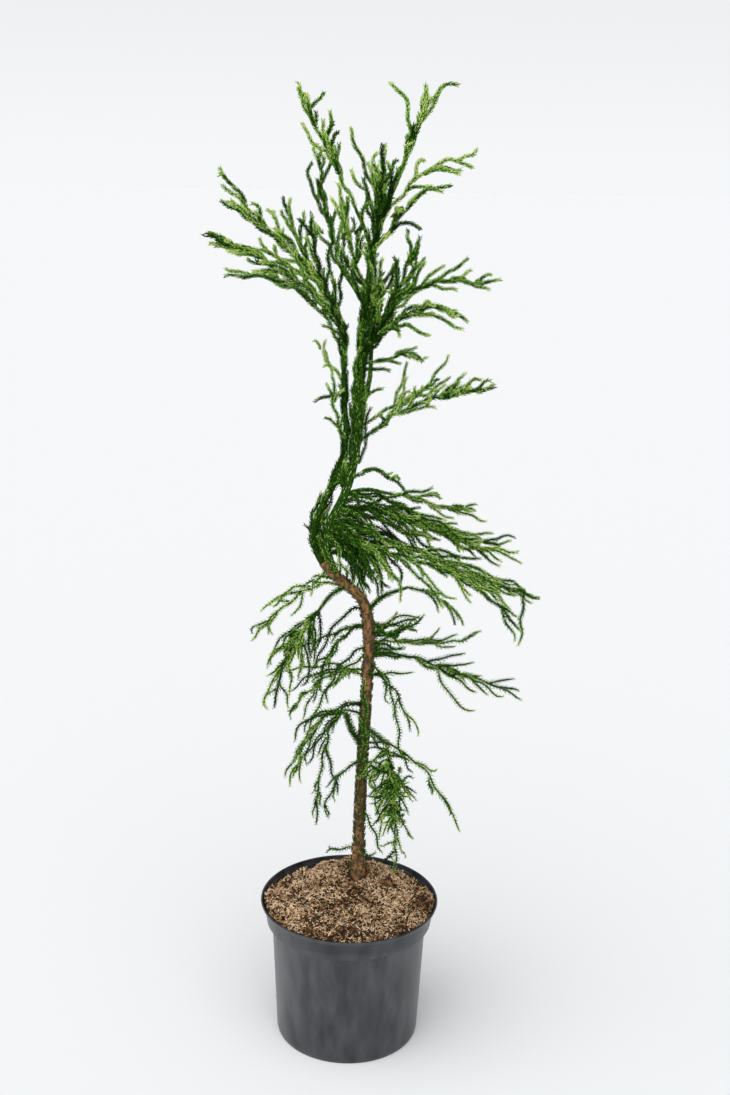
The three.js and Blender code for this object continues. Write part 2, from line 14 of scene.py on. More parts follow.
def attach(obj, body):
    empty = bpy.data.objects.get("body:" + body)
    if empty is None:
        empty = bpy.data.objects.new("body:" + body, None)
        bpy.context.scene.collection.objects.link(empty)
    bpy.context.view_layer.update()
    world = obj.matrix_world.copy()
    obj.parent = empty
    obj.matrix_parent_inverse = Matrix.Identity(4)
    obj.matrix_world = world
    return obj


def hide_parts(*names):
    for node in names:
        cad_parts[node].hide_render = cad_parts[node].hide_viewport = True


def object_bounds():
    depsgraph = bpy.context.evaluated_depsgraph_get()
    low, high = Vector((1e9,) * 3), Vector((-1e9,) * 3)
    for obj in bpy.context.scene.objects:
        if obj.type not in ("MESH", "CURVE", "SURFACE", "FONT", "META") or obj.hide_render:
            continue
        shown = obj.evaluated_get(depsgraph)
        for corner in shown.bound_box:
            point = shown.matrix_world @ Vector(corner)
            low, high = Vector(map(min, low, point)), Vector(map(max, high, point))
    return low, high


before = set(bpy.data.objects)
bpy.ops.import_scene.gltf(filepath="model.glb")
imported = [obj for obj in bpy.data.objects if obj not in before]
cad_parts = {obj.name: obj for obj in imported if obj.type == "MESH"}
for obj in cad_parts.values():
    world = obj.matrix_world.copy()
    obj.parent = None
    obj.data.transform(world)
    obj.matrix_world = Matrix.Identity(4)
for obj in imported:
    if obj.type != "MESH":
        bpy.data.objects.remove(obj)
cad_low, cad_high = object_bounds()


def table(keys, rows):
    """Named rows of values as dictionaries. A value that is None or missing has no key."""
    keys = keys.split()
    return {
        name: {key: value for key, value in zip(keys, row) if value is not None}
        for name, row in rows.items()
    }


# ------------------------------------------------------------------ driving sizes of the part

MM = 0.001
POT = {
    "height": 177, "rim_radius": 109, "band_foot": 101.5, "band_height": 28, "shoulder": 95.5,
    "foot_radius": 88, "foot_height": 4, "base_radius": 87, "wall": 2, "ledge": (1, 5),
    "lip": 1.2, "floor": 3,
}
SOIL = {
    "crest": 198, "flat_radius": 14, "front_edge": 173, "back_edge": 160, "slump": 0.5, "sag": 2,
    "wall_gap": 0.5,
}

# Limbs run through the places in "through". One with a "limb" starts inside that one, at the
# height "from". "radii" is the radius at even steps from the foot.
LIMBS = table("limb from radii through", {
    "trunk": (None, None, (10, 6.4, 5.8, 5.6, 6, 7.2, 6, 5.4, 4.2, 3.8, 3.4, 3), [
        (10, 15, 190), (11, 13, 300), (15, 9, 430), (17, 8, 520), (8, 7, 560), (-20, 4, 587),
        (-42, 3, 612), (-48, 3, 645), (-30, 3, 695), (-15, 3, 740), (-17, 4, 810), (-18, 7, 880),
    ]),
    "leader": ("trunk", 590, (5, 6.2, 6, 5.4, 4.6, 3.8, 2.8), [
        (-33, -6, 625), (-30, -8, 655), (-14, -7, 690), (-3, -5, 735), (0, -5, 810), (6, -6, 890),
        (12, -5, 960), (24, -3, 1005), (42, 0, 1050),
    ]),
    "bough_fan": ("leader", 770, (3.2, 2.6), [(11, 9, 815), (15, 15, 865), (36, 26, 900)]),
    "bough_left_up": ("leader", 900, (2.8, 2.3), [(-8, 10, 920), (-26, 18, 945)]),
    "bough_top_left": ("leader", 955, (2.6, 2.2), [(4, 9, 980), (-8, 15, 1005)]),
    "bough_tail": ("leader", 650, (3.2, 2.6), [(0, -20, 653), (40, -25, 640)]),
    "bough_tail_high": ("leader", 690, (3, 2.5), [(10, 8, 692), (35, 22, 685)]),
    "bough_arch": ("trunk", 545, (2.8, 2.2), [(32, -5, 568), (60, -15, 583)]),
    "bough_long": ("trunk", 493, (3.2, 2.6), [(45, -8, 500)]),
    "bough_left_arc": ("trunk", 578, (2.8, 2.3), [(-28, -10, 570), (-42, -14, 552)]),
    "bough_low_left": ("trunk", 372, (3.4, 2.6), [(0, -5, 400), (-8, -20, 428)]),
    "bough_low_right": ("trunk", 400, (2.8, 2.2), [(42, -20, 390)]),
})
# A spray grows from its limb, at the height "from" or at the limb's tip, to its own tip. Its stem's
# slopes above the level are "leave" at the foot and "end" at the tip. "count" shoots leave it, at
# "spread" to it, and end at the slope "lean".
SPRAYS = table("limb from tip leave end count longest spread lean girth", {
    "top": ("leader", None, (80, 0, 1128), 75, 55, 2, 62, 24, 78, 7),
    "top_left": ("bough_top_left", None, (-70, 35, 1130), 62, 70, 6, 65, 32, 70, 7),
    "top_mid": ("leader", 962, (20, -45, 1072), 60, 88, 7, 50, 32, 65, 7),
    "right_up": ("leader", 992, (120, 45, 1050), 50, -30, 4, 50, 30, 0, 7),
    "right_arc": ("leader", 968, (85, -50, 1030), 35, -10, 3, 45, 35, 10, 6),
    "left_up": ("bough_left_up", None, (-50, 60, 1068), 65, 88, 5, 50, 28, 75, 7),
    "left_near": ("leader", 915, (-19, -70, 1033), 40, 82, 5, 50, 30, 75, 7),
    "centre": ("leader", 885, (12, -70, 988), 35, 85, 5, 45, 30, 75, 8),
    "left_fan": ("trunk", None, (-152, 10, 1026), 56, 42, 7, 85, 30, 30, 8),
    "left_out": ("trunk", 866, (-163, -60, 980), 62, 25, 6, 65, 30, 12, 7),
    "left_low": ("trunk", 850, (-158, 85, 923), 66, -15, 5, 55, 30, 8, 7),
    "left_high": ("trunk", 872, (-88, 95, 1012), 60, 78, 5, 60, 28, 65, 8),
    "left_front": ("trunk", 859, (-54, -95, 1004), 52, 75, 5, 60, 28, 65, 8),
    "fan_high": ("leader", 872, (60, -65, 979), 30, 62, 7, 60, 32, 60, 8),
    "fan_mid": ("bough_fan", None, (144, 45, 918), 45, -30, 7, 60, 38, 25, 8),
    "fan_back": ("bough_fan", 882, (64, 110, 953), 25, 60, 5, 55, 32, 50, 8),
    "fan_low": ("leader", 852, (113, -60, 892), 50, -50, 6, 50, 34, -15, 8),
    "loop": ("leader", 838, (72, -12, 848), 10, -28, 3, 45, 35, -30, 6),
    "right_limb": ("leader", 745, (150, -20, 815), 50, 5, 8, 60, 34, 38, 8),
    "right_limb_up": ("leader", 765, (102, 80, 839), 30, 62, 3, 45, 34, 50, 6),
    "left_brush": ("trunk", 752, (-29, -35, 837), 30, 95, 3, 30, 32, 70, 7),
    "left_hook": ("trunk", 812, (-46, 30, 858), 45, 88, 2, 32, 35, 30, 5),
    "tail_arch": ("leader", 705, (70, 70, 663), 40, -45, 2, 45, 35, -20, 7),
    "tail_high": ("bough_tail_high", None, (140, 45, 667), -8, 20, 6, 65, 30, -20, 8),
    "tail_back": ("leader", 672, (188, 110, 610), 5, 8, 7, 80, 32, -25, 8),
    "tail_mid": ("leader", 664, (188, 5, 621), 24, 0, 9, 80, 30, -25, 9),
    "tail": ("bough_tail", None, (210, -40, 591), -12, 5, 9, 80, 30, -35, 9),
    "tail_low": ("leader", 640, (184, -105, 564), -8, -45, 8, 75, 30, -45, 8),
    "tail_under": ("leader", 634, (42, 25, 584), 25, -70, 10, 62, 44, -65, 8),
    "arch": ("bough_arch", None, (118, -50, 557), 8, -62, 4, 45, 34, -50, 7),
    "arch_foot": ("trunk", 520, (75, -65, 567), 5, 55, 3, 35, 34, 35, 7),
    "long": ("bough_long", None, (192, -35, 466), -5, -8, 8, 60, 32, -12, 8),
    "long_up": ("trunk", 506, (157, 75, 500), 0, 22, 4, 50, 32, 12, 7),
    "hang_right": ("trunk", 465, (65, -70, 428), 30, -68, 2, 60, 34, -45, 7),
    "left_arc": ("bough_left_arc", None, (-91, -65, 451), -25, -82, 9, 70, 42, -70, 8),
    "left_arc_out": ("trunk", 572, (-129, 60, 491), 25, -42, 7, 65, 36, -45, 8),
    "left_mid": ("trunk", 530, (-41, -40, 464), 5, -78, 6, 55, 42, -65, 8),
    "left_drop": ("trunk", 465, (-79, 60, 395), 15, -55, 5, 50, 34, -65, 7),
    "low_left": ("bough_low_left", None, (-67, -60, 364), 35, -78, 6, 55, 30, -72, 8),
    "low_deep": ("trunk", 412, (-48, 50, 251), 30, -82, 5, 50, 28, -75, 8),
    "foot_left": ("trunk", 352, (-33, -35, 301), 20, -80, 3, 40, 28, -72, 7),
    "front": ("trunk", 335, (14, -25, 474), 40, 92, 1, 30, 28, 72, 8),
    "bush": ("bough_low_right", None, (48, -58, 305), -50, -88, 9, 55, 42, -70, 8),
    "bush_out": ("trunk", 378, (128, -25, 281), 15, -68, 4, 50, 34, -50, 7),
    "bush_long": ("trunk", 350, (60, 12, 206), 20, -78, 8, 60, 42, -65, 7),
    "foot_back": ("trunk", 232, (-32, 32, 222), 20, -12, 2, 24, 35, -5, 6),
})

# The seeded rule for the shoots of a spray, and the finer ones for what grows on from them.
SHOOT = {
    "first_share": 0.14, "last_share": 0.88, "roll": 137.5, "roll_jitter": 40, "tip_loss": 0.5,
    "shortest_share": 0.65, "spread_jitter": 0.5, "lean_jitter": 30, "girth_share": 0.8,
    "tries": 4, "turn": 75,
}
# Whips leave the lower part of a stem and run along beside it.
WHIP = {
    **SHOOT, "first_share": 0.03, "last_share": 0.6, "tip_loss": 0.7, "shortest_share": 0.6,
    "girth_share": 0.9, "tries": 3,
}
TWIG = {
    **SHOOT, "first_share": 0.25, "last_share": 0.92, "tip_loss": 0.3, "shortest_share": 0.4,
    "girth_share": 0.85, "tries": 2, "lean_jitter": 50,
}
ABOVE_SOIL = 4  # shoots keep this far above the compost's crest
SOURCE_CLEARANCE = 1.2  # the part's own shoots keep this far from limbs and other sprays
SOURCE_NEEDLE_REACH = 8 * math.sin(math.radians(40))  # its needles are 8 mm long, 40 degrees open
TWIG_MARGIN = 4  # whips and twigs keep this far inside the part's box, for their needles
TWIG_SHARE = 0.6  # a twig's greatest length, as a share of its shoot's
CORE_SHARE = 0.36  # a shoot's radius at its foot, as a share of its girth
TIP_SHARE = 0.5  # and at its tip, as a share of that
SAMPLE_STEP = 5  # between the balls that stand for a shoot in tests
LEAST_SAMPLES = 2
CURVE_STEPS = 24
HANDLE_SHARE = 0.38  # length of an arc's handles, as a share of its chord
SLOPE_REACH = 0.02  # share of the length, to each side, over which a direction is taken
STEEP = 0.9  # a direction whose climb is above this counts as upright
UP = np.array([0.0, 0.0, 1.0])
ACROSS = np.array([1.0, 0.0, 0.0])

# ------------------------------------------------------------------ finer shoots

# How thickly a spray is filled: length of stem for each whip, the whips' length as a share of the
# stem's, their spread, length of shoot for each twig, the twigs' greatest length, their spread,
# and how far the whips' slopes vary.
FILL_KEYS = "whip_spacing whip_share whip_spread twig_spacing twig_length twig_spread sway"
FILL = dict(zip(FILL_KEYS.split(), (46, 0.75, 28, 130, 38, 38, 36)))
FILLS = table(FILL_KEYS, {
    "fan_mid": (80, None, None, 90), "right_arc": (80,), "top": (300, None, None, 110),
    "top_left": (120, None, None, 110), "right_up": (160,), "left_fan": (160, None, 24, 95),
    "left_out": (100, None, 24, 95), "left_low": (110, None, 18, 180), "left_high": (75, None, 26, 180),
    "left_front": (75, None, 26, 180), "loop": (90, None, None, 200),
    "right_limb": (75, 0.5, None, 60, 30, 50), "tail_arch": (400, None, None, 400),
    "tail_high": (300, 0.6, 16, 90), "tail_back": (300, 0.6, 17, 260), "tail_mid": (26, 0.62, 17, 260),
    "tail": (26, 0.66, 15, 260), "tail_low": (40, 0.7, 20, 260), "tail_under": (10, 0.95, 50, 70),
    "arch": (60,), "arch_foot": (60,), "long": (45, 0.6), "long_up": (200, None, None, 200),
    "left_arc": (22, 0.5, 40, 180), "left_arc_out": (110, 0.5, 34, 180),
    "left_mid": (90, None, 36, 180), "low_left": (170, None, None, 200),
    "low_deep": (80, None, None, 200), "front": (400, None, None, 400),
    "bush": (60, 0.6, 60, 45, 34, 75, 130), "hang_right": (400, None, None, 200),
    "bush_out": (400, None, None, 400), "bush_long": (70, 0.4, 55, 60, 32, 75, 130),
    "left_brush": (400, None, None, 400), "foot_left": (200, None, None, 200),
})

# Shoots pressed to the green limbs, between two heights: length of limb for each, their lengths,
# and how far their tips stand off.
HUGS = table("from to spacing lengths stand_off", {
    "leader": (708, 900, 9, (45, 95), (0, 6)),
    "trunk": (606, 868, 13, (25, 50), (-1, 4)),
})
# Their girth, the places on their line, how far they turn out of step, and how late they stand off.
HUG = {"girth": 6.5, "places": 24, "roll_jitter": 20, "lift": 1.4}

# Bunches of short shoots that leave a limb between two heights, or a spray's stem between two
# shares of it: their number, then the least and most of their bearing (0 is +X and 90 is the
# back), of how far they reach out and how far they rise, and of their slopes at foot and tip.
BUNCHES = (
    ("trunk", 604, 690, 14, (-60, 60), (6, 12), (16, 42), (55, 80), (70, 90)),
    ("leader", 606, 650, 10, (140, 220), (4, 9), (10, 28), (55, 80), (70, 90)),
    ("leader", 596, 626, 14, (150, 215), (5, 12), (12, 26), (50, 75), (60, 85)),
    ("leader", 684, 712, 12, (150, 215), (3, 8), (14, 30), (60, 80), (75, 90)),
    ("trunk", 566, 650, 22, (120, 270), (2, 7), (12, 26), (50, 75), (60, 88)),
    ("leader", 616, 652, 22, (-48, 48), (24, 66), (-58, -18), (-10, 40), (-86, -50)),
    ("leader", 645, 690, 13, (-32, 32), (34, 84), (-42, -8), (10, 35), (-50, -15)),
    ("tail_mid", 0.15, 0.4, 7, (-30, 30), (30, 60), (-40, -10), (0, 20), (-60, -20)),
    ("trunk", 484, 534, 9, (-50, 50), (18, 66), (-14, 26), (-10, 40), (-20, 40)),
    ("leader", 838, 905, 24, (-90, 80), (12, 44), (18, 60), (20, 50), (50, 88)),
    ("leader", 968, 1036, 9, (-160, 60), (6, 30), (30, 62), (40, 70), (45, 85)),
    ("top", 0.1, 0.75, 5, (-180, 180), (6, 15), (12, 36), (30, 70), (30, 85)),
    ("top_left", 0.25, 0.85, 7, (-180, 180), (8, 24), (12, 40), (30, 60), (20, 80)),
    ("left_out", 0.35, 0.9, 9, (140, 240), (14, 34), (-6, 20), (0, 40), (-20, 40)),
    ("left_fan", 0.4, 0.85, 5, (150, 220), (12, 30), (4, 26), (10, 40), (0, 50)),
    ("bush", 0.05, 0.85, 30, (-180, 180), (12, 42), (-30, 20), (-20, 50), (-70, 30)),
    ("bush_long", 0.15, 0.55, 9, (-180, 180), (10, 34), (-36, 10), (-30, 40), (-85, 10)),
    ("left_arc", 0.02, 0.4, 15, (-60, 200), (6, 24), (-55, -15), (-30, 20), (-88, -60)),
    ("right_limb", 0.6, 0.95, 6, (-70, 50), (14, 26), (-4, 24), (0, 50), (-20, 60)),
)
# Single shoots between the sprays: the limb and height, or the spray and share of its stem, that
# they start from, then their tip, and their slopes at foot and tip.
SPRIGS = (
    ("top", 0.3, (25, -3, 1133), 85, 10), ("leader", 1042, (64, 8, 1132), 70, 85),
    ("top", 0.55, (93, -6, 1128), 62, -45), ("leader", 1000, (-13, -20, 1088), 70, 70),
    ("leader", 966, (64, -30, 993), 50, -10), ("trunk", 866, (-40, -10, 880), 35, 5),
    ("leader", 830, (31, -20, 838), 30, 5), ("trunk", 800, (-50, -12, 797), 25, -20),
    ("leader", 792, (26, -15, 815), 40, 30), ("trunk", 600, (-51, -14, 570), -50, -72),
    ("trunk", 548, (-45, -35, 492), 25, -65), ("trunk", 496, (-55, -30, 402), -20, -75),
    ("trunk", 528, (-72, -20, 508), 10, -10), ("trunk", 470, (-84, 20, 462), 20, -25),
    ("trunk", 425, (-78, -35, 352), 40, -70), ("trunk", 428, (-48, -30, 368), 35, -82),
    ("trunk", 502, (-32, -35, 446), 0, -80), ("trunk", 632, (-22, 0, 706), 70, 72),
    ("trunk", 618, (-29, 0, 676), 66, 80), ("trunk", 652, (-16, 0, 728), 72, 78),
    ("trunk", 340, (38, -25, 268), 45, -82), ("trunk", 282, (34, -20, 246), 60, -82),
    ("trunk", 236, (30, -12, 238), 20, 0), ("long", 0.35, (141, -50, 447), -70, 12),
    ("long", 0.55, (172, -60, 470), 10, 5), ("leader", 686, (72, -10, 662), 30, -35),
    ("leader", 680, (98, 20, 640), 25, -38), ("leader", 669, (72, -34, 630), 28, -45),
    ("leader", 661, (104, -12, 614), 20, -38), ("leader", 653, (60, 26, 608), 15, -52),
    ("leader", 646, (46, -34, 598), 12, -62), ("leader", 643, (78, 0, 590), 8, -60),
    ("leader", 650, (22, -28, 604), 10, -72), ("leader", 638, (8, 22, 586), 15, -80),
    ("leader", 641, (28, 12, 584), 10, -78), ("leader", 655, (36, -14, 612), 20, -70),
    ("trunk", 478, (60, -30, 378), 25, -80), ("trunk", 470, (70, -16, 482), -5, 20),
    ("trunk", 512, (62, 12, 532), 20, 45), ("trunk", 500, (52, 20, 486), 0, -30),
    ("trunk", 507, (58, -26, 515), 10, 30), ("trunk", 489, (66, -12, 494), 8, -8),
    ("tail", 0.9, (188, -50, 528), -50, -75),
)
SPRIG_GIRTH = 7
# How far a shoot wavers from its arc, over what length, how finely it is drawn, the length over
# which it starts to waver, and how much the wave's length varies.
SWAY = {"reach": 3.2, "wave": 38, "step": 4, "least_places": 6, "start": 20, "pitch": (0.7, 1.4)}
HOOK = {"share": 0.25, "reach": 7}  # the last part of a shoot bends aside

# ------------------------------------------------------------------ sizes of the needles

# Needles pressed to a shoot, standing out of it, and stout ones round the top shoots; long ones
# round a green limb, and old needle bases on the bark. "open" and "close" are a needle's slopes to
# its shoot, "fine" is its size at the shoot's tip, and "shut" is how far needles close there.
NEEDLE_KEYS = "length width open close spacing fine shut"
KINDS = table(NEEDLE_KEYS, {
    "rope": (4.5, 1.65, 50, 14, 0.8, 0.7, 0.4),
    "brush": (4.8, 1.5, 70, 34, 0.8, 0.5, 0.5),
    "cord": (4.6, 2.0, 42, 8, 0.72, 0.95, 0.1),
    "sheath": (6.0, 1.8, 34, 4, 0.34, 0.8, 0.5),
    "short_sheath": (4.8, 1.9, 30, 4, 0.45, 0.8, 0.5),
    "close_brush": (5, 1.5, 70, 34, 0.34, 0.5, 0.5),
    "open_brush": (5.6, 1.5, 70, 34, 0.34, 1, 0),
    "scale": (4.2, 2.5, 54, 14, 0.14, 1, 0),
})
BRUSH_BELOW = 480  # shoots are brushes below this height, ropes at the next and cords at the last
ROPE_AT = 600
CORD_AT = 980
BARK_BOUGHS = ("bough_low_left", "bough_low_right")  # boughs that show their bark
# The needles of each limb, and where their roots sit in the radius they stand on.
LIMB_NEEDLES = {
    **dict.fromkeys(LIMBS, ("short_sheath", 0.6)), "leader": ("sheath", 0.6),
    **dict.fromkeys(("bough_arch", "bough_long", "bough_left_arc"), ("close_brush", 0.7)),
    **dict.fromkeys(BARK_BOUGHS, ("open_brush", 1)),
}
SHOOT_ROOT = 0.42  # the same for a shoot's needles
NEEDLE_ROLL = 139.0  # round the shoot, from one needle to the next
# How much needles vary: their turn in radians, their last slope in degrees, the rest as shares.
NEEDLE_JITTER = {"roll": 0.2, "length": (0.85, 1.15), "width": (0.9, 1.1), "open": (0.85, 1.15), "close": 5}
NEEDLE_BEND = {"share": 0.45, "width": 0.85}  # where along a needle it bends, and how wide it is there
NEEDLE_DEPTH = 0.6  # thickness as a share of the width
LEAST_COUNT = 3  # rings of a tube, and needles on a shoot
# A needle has four corners at its root, four at its bend, and one point at its tip.
NEEDLE_TRIANGLES = np.array(
    [[0, 2, 1], [0, 3, 2]]
    + [[i, (i + 1) % 4, 4 + (i + 1) % 4] for i in range(4)]
    + [[i, 4 + (i + 1) % 4, 4 + i] for i in range(4)]
    + [[4 + i, 4 + (i + 1) % 4, 8] for i in range(4)]
)
FINE_LENGTH = 30  # needles get smaller over this end of a shoot
TIP_LENGTH = 13  # needles close, and some are pale, over this end of a shoot
TIP_KEEP = 0.8  # a dressed shoot's thickness at its tip, as a share of that at its foot
# A shoot's green core: its radius as a share of what its needles stand on, the length over which
# it comes to a point and the share that is left there, and the sides and steps of its tube.
CORE = {"fill": 0.45, "point": 6, "blunt": 0.12, "sides": 6, "step": 3.2}
LIMB_CORE = {"sides": 12, "step": 3}
LIMB_FILL = {"trunk": 0.8, "leader": 0.8, "bough": 0.65}  # a core's share of its limb's radius
GREEN_TRUNK_PLACES = 200  # on the path of the trunk's green part

# ------------------------------------------------------------------ sizes of bark, pot and compost

BARE_TRUNK = 606  # the trunk shows its bark below this height
BARK_FILL = {"trunk": 0.97, "bough": 0.62}  # the bark's share of its limb's radius
# The bark's tube: its sides, step, places on its path and depth of relief, and the trunk's foot.
BARK = {"sides": 72, "step": 1.1, "places": 400, "depth": 0.9, "foot": SOIL["crest"] - 3}
# A flake's width and height, how steep and how deep its cracks are, how far the whole is sunk, and
# how much finer and how deep its own roughness is. Depths are shares of the bark's depth.
FLAKE = {
    "width": 2.6, "height": 9.0, "crack": 2, "crack_end": 0.45, "level": 0.35, "fine": 2.3, "rough": 0.35,
}
# The swelling of the trunk below its crook, with ridges across it.
KNOB = {"height": 522, "half": 24, "swell": 0.9, "ridges": 5.5, "ridge_depth": 0.5}
# Old needle bases on the bark: the stretch that has them, the share that is left at some heights,
# and where their roots sit in the bark's radius.
SCALES = {
    "from": 204, "to": 600, "places": 300, "heights": (240, 300, 420, 470, 600),
    "kept": (0.45, 0.8, 0.7, 0.28, 0.2), "root": 0.98,
}

POT_SIDES = 180
LIP_POINTS = 9
# Small edges of the pot: the recess under it, and how far the profile's places beside a corner are
# from that corner, inwards and then up or down.
EDGES = {
    "recess": 1.2, "recess_radius": 60, "ring_radius": 62, "base": (1, 0.6), "foot": (0.6, 1.2),
    "foot_run": 3, "shoulder": (0.8, 1.2), "band": (0.8, 0.2, 1), "bead": (4, 5.5), "bead_top": (1.2, 4.6),
}

HEAP_EXTRA = 2  # the heap stands this much higher than the part's
MOUND = {"rings": 70, "sides": 220, "inmost": 0.985}
SKIRT = {"depth": 6, "share": 0.9}  # the compost's edge turns down and in beside the wall
# Lumps of compost: their size and depth, those of the finer ones as shares, how much is left of
# them beside the wall, and how far the whole surface is lowered.
LUMP = {"size": 14, "depth": 7.5, "finer": 3.1, "fine_share": 0.45, "at_wall": 0.3, "drop": 1}
CHIPS = 17500  # drawn in all, before those outside their patches are left out
PATCH = 26  # size of a patch of one kind of chips
# A kind's share of the chips, lengths, widths, how high they lie, and how strongly it keeps to
# patches. Kinds with a minus keep to the places between the others' patches.
CHIP_KINDS = {
    "chips_tan": (0.30, (3, 7), (0.6, 1.3), 1.8, 0.6),
    "chips_straw": (0.23, (2.5, 6.5), (0.6, 1.6), 1.6, 0.35),
    "chips_brown": (0.22, (2.5, 6.5), (0.8, 2), 1.3, -0.3),
    "chips_dark": (0.19, (3, 6), (1.2, 3), 1.2, -0.6),
    "chips_moss": (0.06, (2, 4.5), (0.5, 1.1), 1.7, -0.6),
}
# The bare share at the crest, how loosely chips keep to their patches and where a patch ends, how
# far they sink, their tilt and spin in radians, how far they stray up or down, as a share of half
# their length, and their thickness, as a share of half their width.
CHIP = {
    "bare_crest": 0.012, "patch_jitter": 0.15, "patch_edge": -0.1, "sink": 0.4, "tilt": 0.5,
    "spin": 0.7, "stray": 0.12, "thickness": 0.6,
}
CHIP_SECTION = ((-1, 0), (1, 0), (0, 1.5))  # its three corners: half widths aside, thicknesses up
CHIP_TRIANGLES = np.array([
    [0, 2, 1], [3, 4, 5], [0, 1, 4], [0, 4, 3], [1, 2, 5], [1, 5, 4], [2, 0, 3], [2, 3, 5],
])

# ------------------------------------------------------------------ colours, camera and lights

SEEDS = {"twigs": 11, "shade": 23, "chips": 37, "needles": 51}
PIECE_TRIANGLES = 190000  # triangles of needles in one piece, at most
SHADES = ("needles_deep", "needles_dark", "needles_mid", "needles_light")  # levels 0 to 3
# A shoot's own level is drawn round a middle one, which is darker by the trunk than at the edge, as painted
# shade inside the crown, and lighter towards the crown's top, as painted light from above.
SHADED_INNER_LEVEL = 0.85
LIT_OUTER_LEVEL = 1.6
OUTER_REACH = 110  # from the middle to the edge
# shoots near this height get the painted light of the crown's edge
CROWN_TOP = 1080
LEVEL_SPREAD = 0.7
TOP_LEVEL = 2.7
LEVEL_AT = 0.6  # the share of a shoot where its place is taken
TOP_SIDE_PAINTED_LIGHT = 0.45  # painted light and shade: needles on the upper side of a shoot are lighter by this, lower ones darker
NEEDLE_SPREAD = 0.4
PALE_TIPS = 0.6  # share of the shoots with a pale tip
YOUNG_LEVEL = 1.3  # how much lighter that tip is
YOUNG_FADE = 1.3  # the pale part ends this many tip lengths from the tip
# Sprays and other shoots that are lighter or darker than the rest.
SPRAY_LEVELS = {
    "top": 0.6, "top_left": 0.5, "right_up": 0.6, "right_arc": 0.3, "left_fan": 0.3, "left_out": 0.3,
    "left_low": 0.3, "left_up": -0.2, "left_high": -0.3, "fan_back": -0.4, "fan_mid": 0.2, "loop": -0.2,
    "right_limb": 0.3, "tail_back": -0.3, "tail_mid": 0.3, "tail_under": -0.6, "left_arc": 0.6,
    "left_arc_out": 0.5, "left_mid": 0.1, "low_deep": -0.2, "long": -0.2, "front": 1.3, "bush": 0.5,
    "bush_long": 0.3, "foot_back": -0.4, "bunches": -0.3, "trunk": -0.4,
}
# Levels of the needles round limbs.
LIMB_LEVELS = {"leader": 1.9, "trunk": 0.7, "bough": 1.0}

COLOURS = {
    "bark": (0.36, 0.165, 0.065),
    "bark_dark": (0.06, 0.034, 0.014),
    # The green cores of shoots and limbs are dark, as painted shade in the gaps between their needles.
    "stem": (0.014, 0.045, 0.004),
    "needles_deep": (0.008, 0.040, 0.001),
    "needles_dark": (0.045, 0.135, 0.010),
    "needles_mid": (0.225, 0.43, 0.062),
    "needles_light": (0.50, 0.66, 0.18),
    "scales": (0.05, 0.07, 0.016),
    "compost": (0.03, 0.015, 0.006),
    "chips_tan": (0.88, 0.66, 0.43),
    "chips_straw": (0.58, 0.40, 0.23),
    "chips_brown": (0.34, 0.18, 0.08),
    "chips_dark": (0.04, 0.018, 0.008),
    "chips_moss": (0.27, 0.27, 0.10),
    "pot": (0.013, 0.014, 0.017),
    # The pot's paler mottle is partly dust and partly painted sheen, drawn out upright into streaks.
    "pot_dust_and_sheen": (0.046, 0.049, 0.058),
    "floor": (0.93, 0.935, 0.94),
}
# Roughness and specular level of the plain materials.
PLAIN = {
    **dict.fromkeys(SHADES, (0.6, 0.05)), **dict.fromkeys(CHIP_KINDS, (0.9, 0.1)),
    "stem": (0.7, 0.05), "scales": (0.8, 0.2), "floor": (0.9, 0),
}
# The mottled ones: two colours, roughness, size of a grain, its stretch, and depth of the relief.
MOTTLED = {
    "bark": ("bark_dark", "bark", 0.85, 4, (1, 1, 0.35), 0.5),
    "bough_bark": ("needles_deep", "scales", 0.85, 3, (1, 1, 0.35), 0.5),
    "compost": ("chips_dark", "compost", 0.95, 3, (1, 1, 1), 1.0),
    "pot": ("pot", "pot_dust_and_sheen", 0.33, 18, (1, 1, 0.3), 0),
}
SPECULAR = 0.5  # of the mottled ones
# Detail of the noise, where the ramp between the two colours starts and ends, and strength of the relief.
MOTTLE = {"detail": 5, "ramp": (0.35, 0.65), "strength": 0.6}

CAMERA = {"place": (10.3, -1576.3, 1064.3), "down": 15.56, "roll": 1.22}
FOCAL_PIXELS = 1419.8  # of a photograph 730 by 1095 pixels
PHOTO_HEIGHT = 1095
SENSOR = 36
# A wide sun above the front, a little to the left.
SUN = {"energy": 2.59, "angle": 95, "from": (-0.35, -0.8, 1.1)}
# The sky's colour at three heights: 0 is the horizon and 1 is overhead.
SKY = ((0, (0.913, 0.93, 0.94)), (0.14, (0.83, 0.84, 0.86)), (0.55, (0.27, 0.28, 0.29)))
FLOOR_REACH = 40000


# ------------------------------------------------------------------ the source's rule


def seeded_random(seed):
    """Repeatable random numbers (mulberry32)."""
    mask = 0xFFFFFFFF
    state = seed & mask
    while True:
        state = (state + 0x6D2B79F5) & mask
        t = state
        t = ((t ^ (t >> 15)) * (t | 1)) & mask
        t ^= (t + (((t ^ (t >> 7)) * (t | 61)) & mask)) & mask
        yield ((t ^ (t >> 14)) & mask) / (mask + 1)


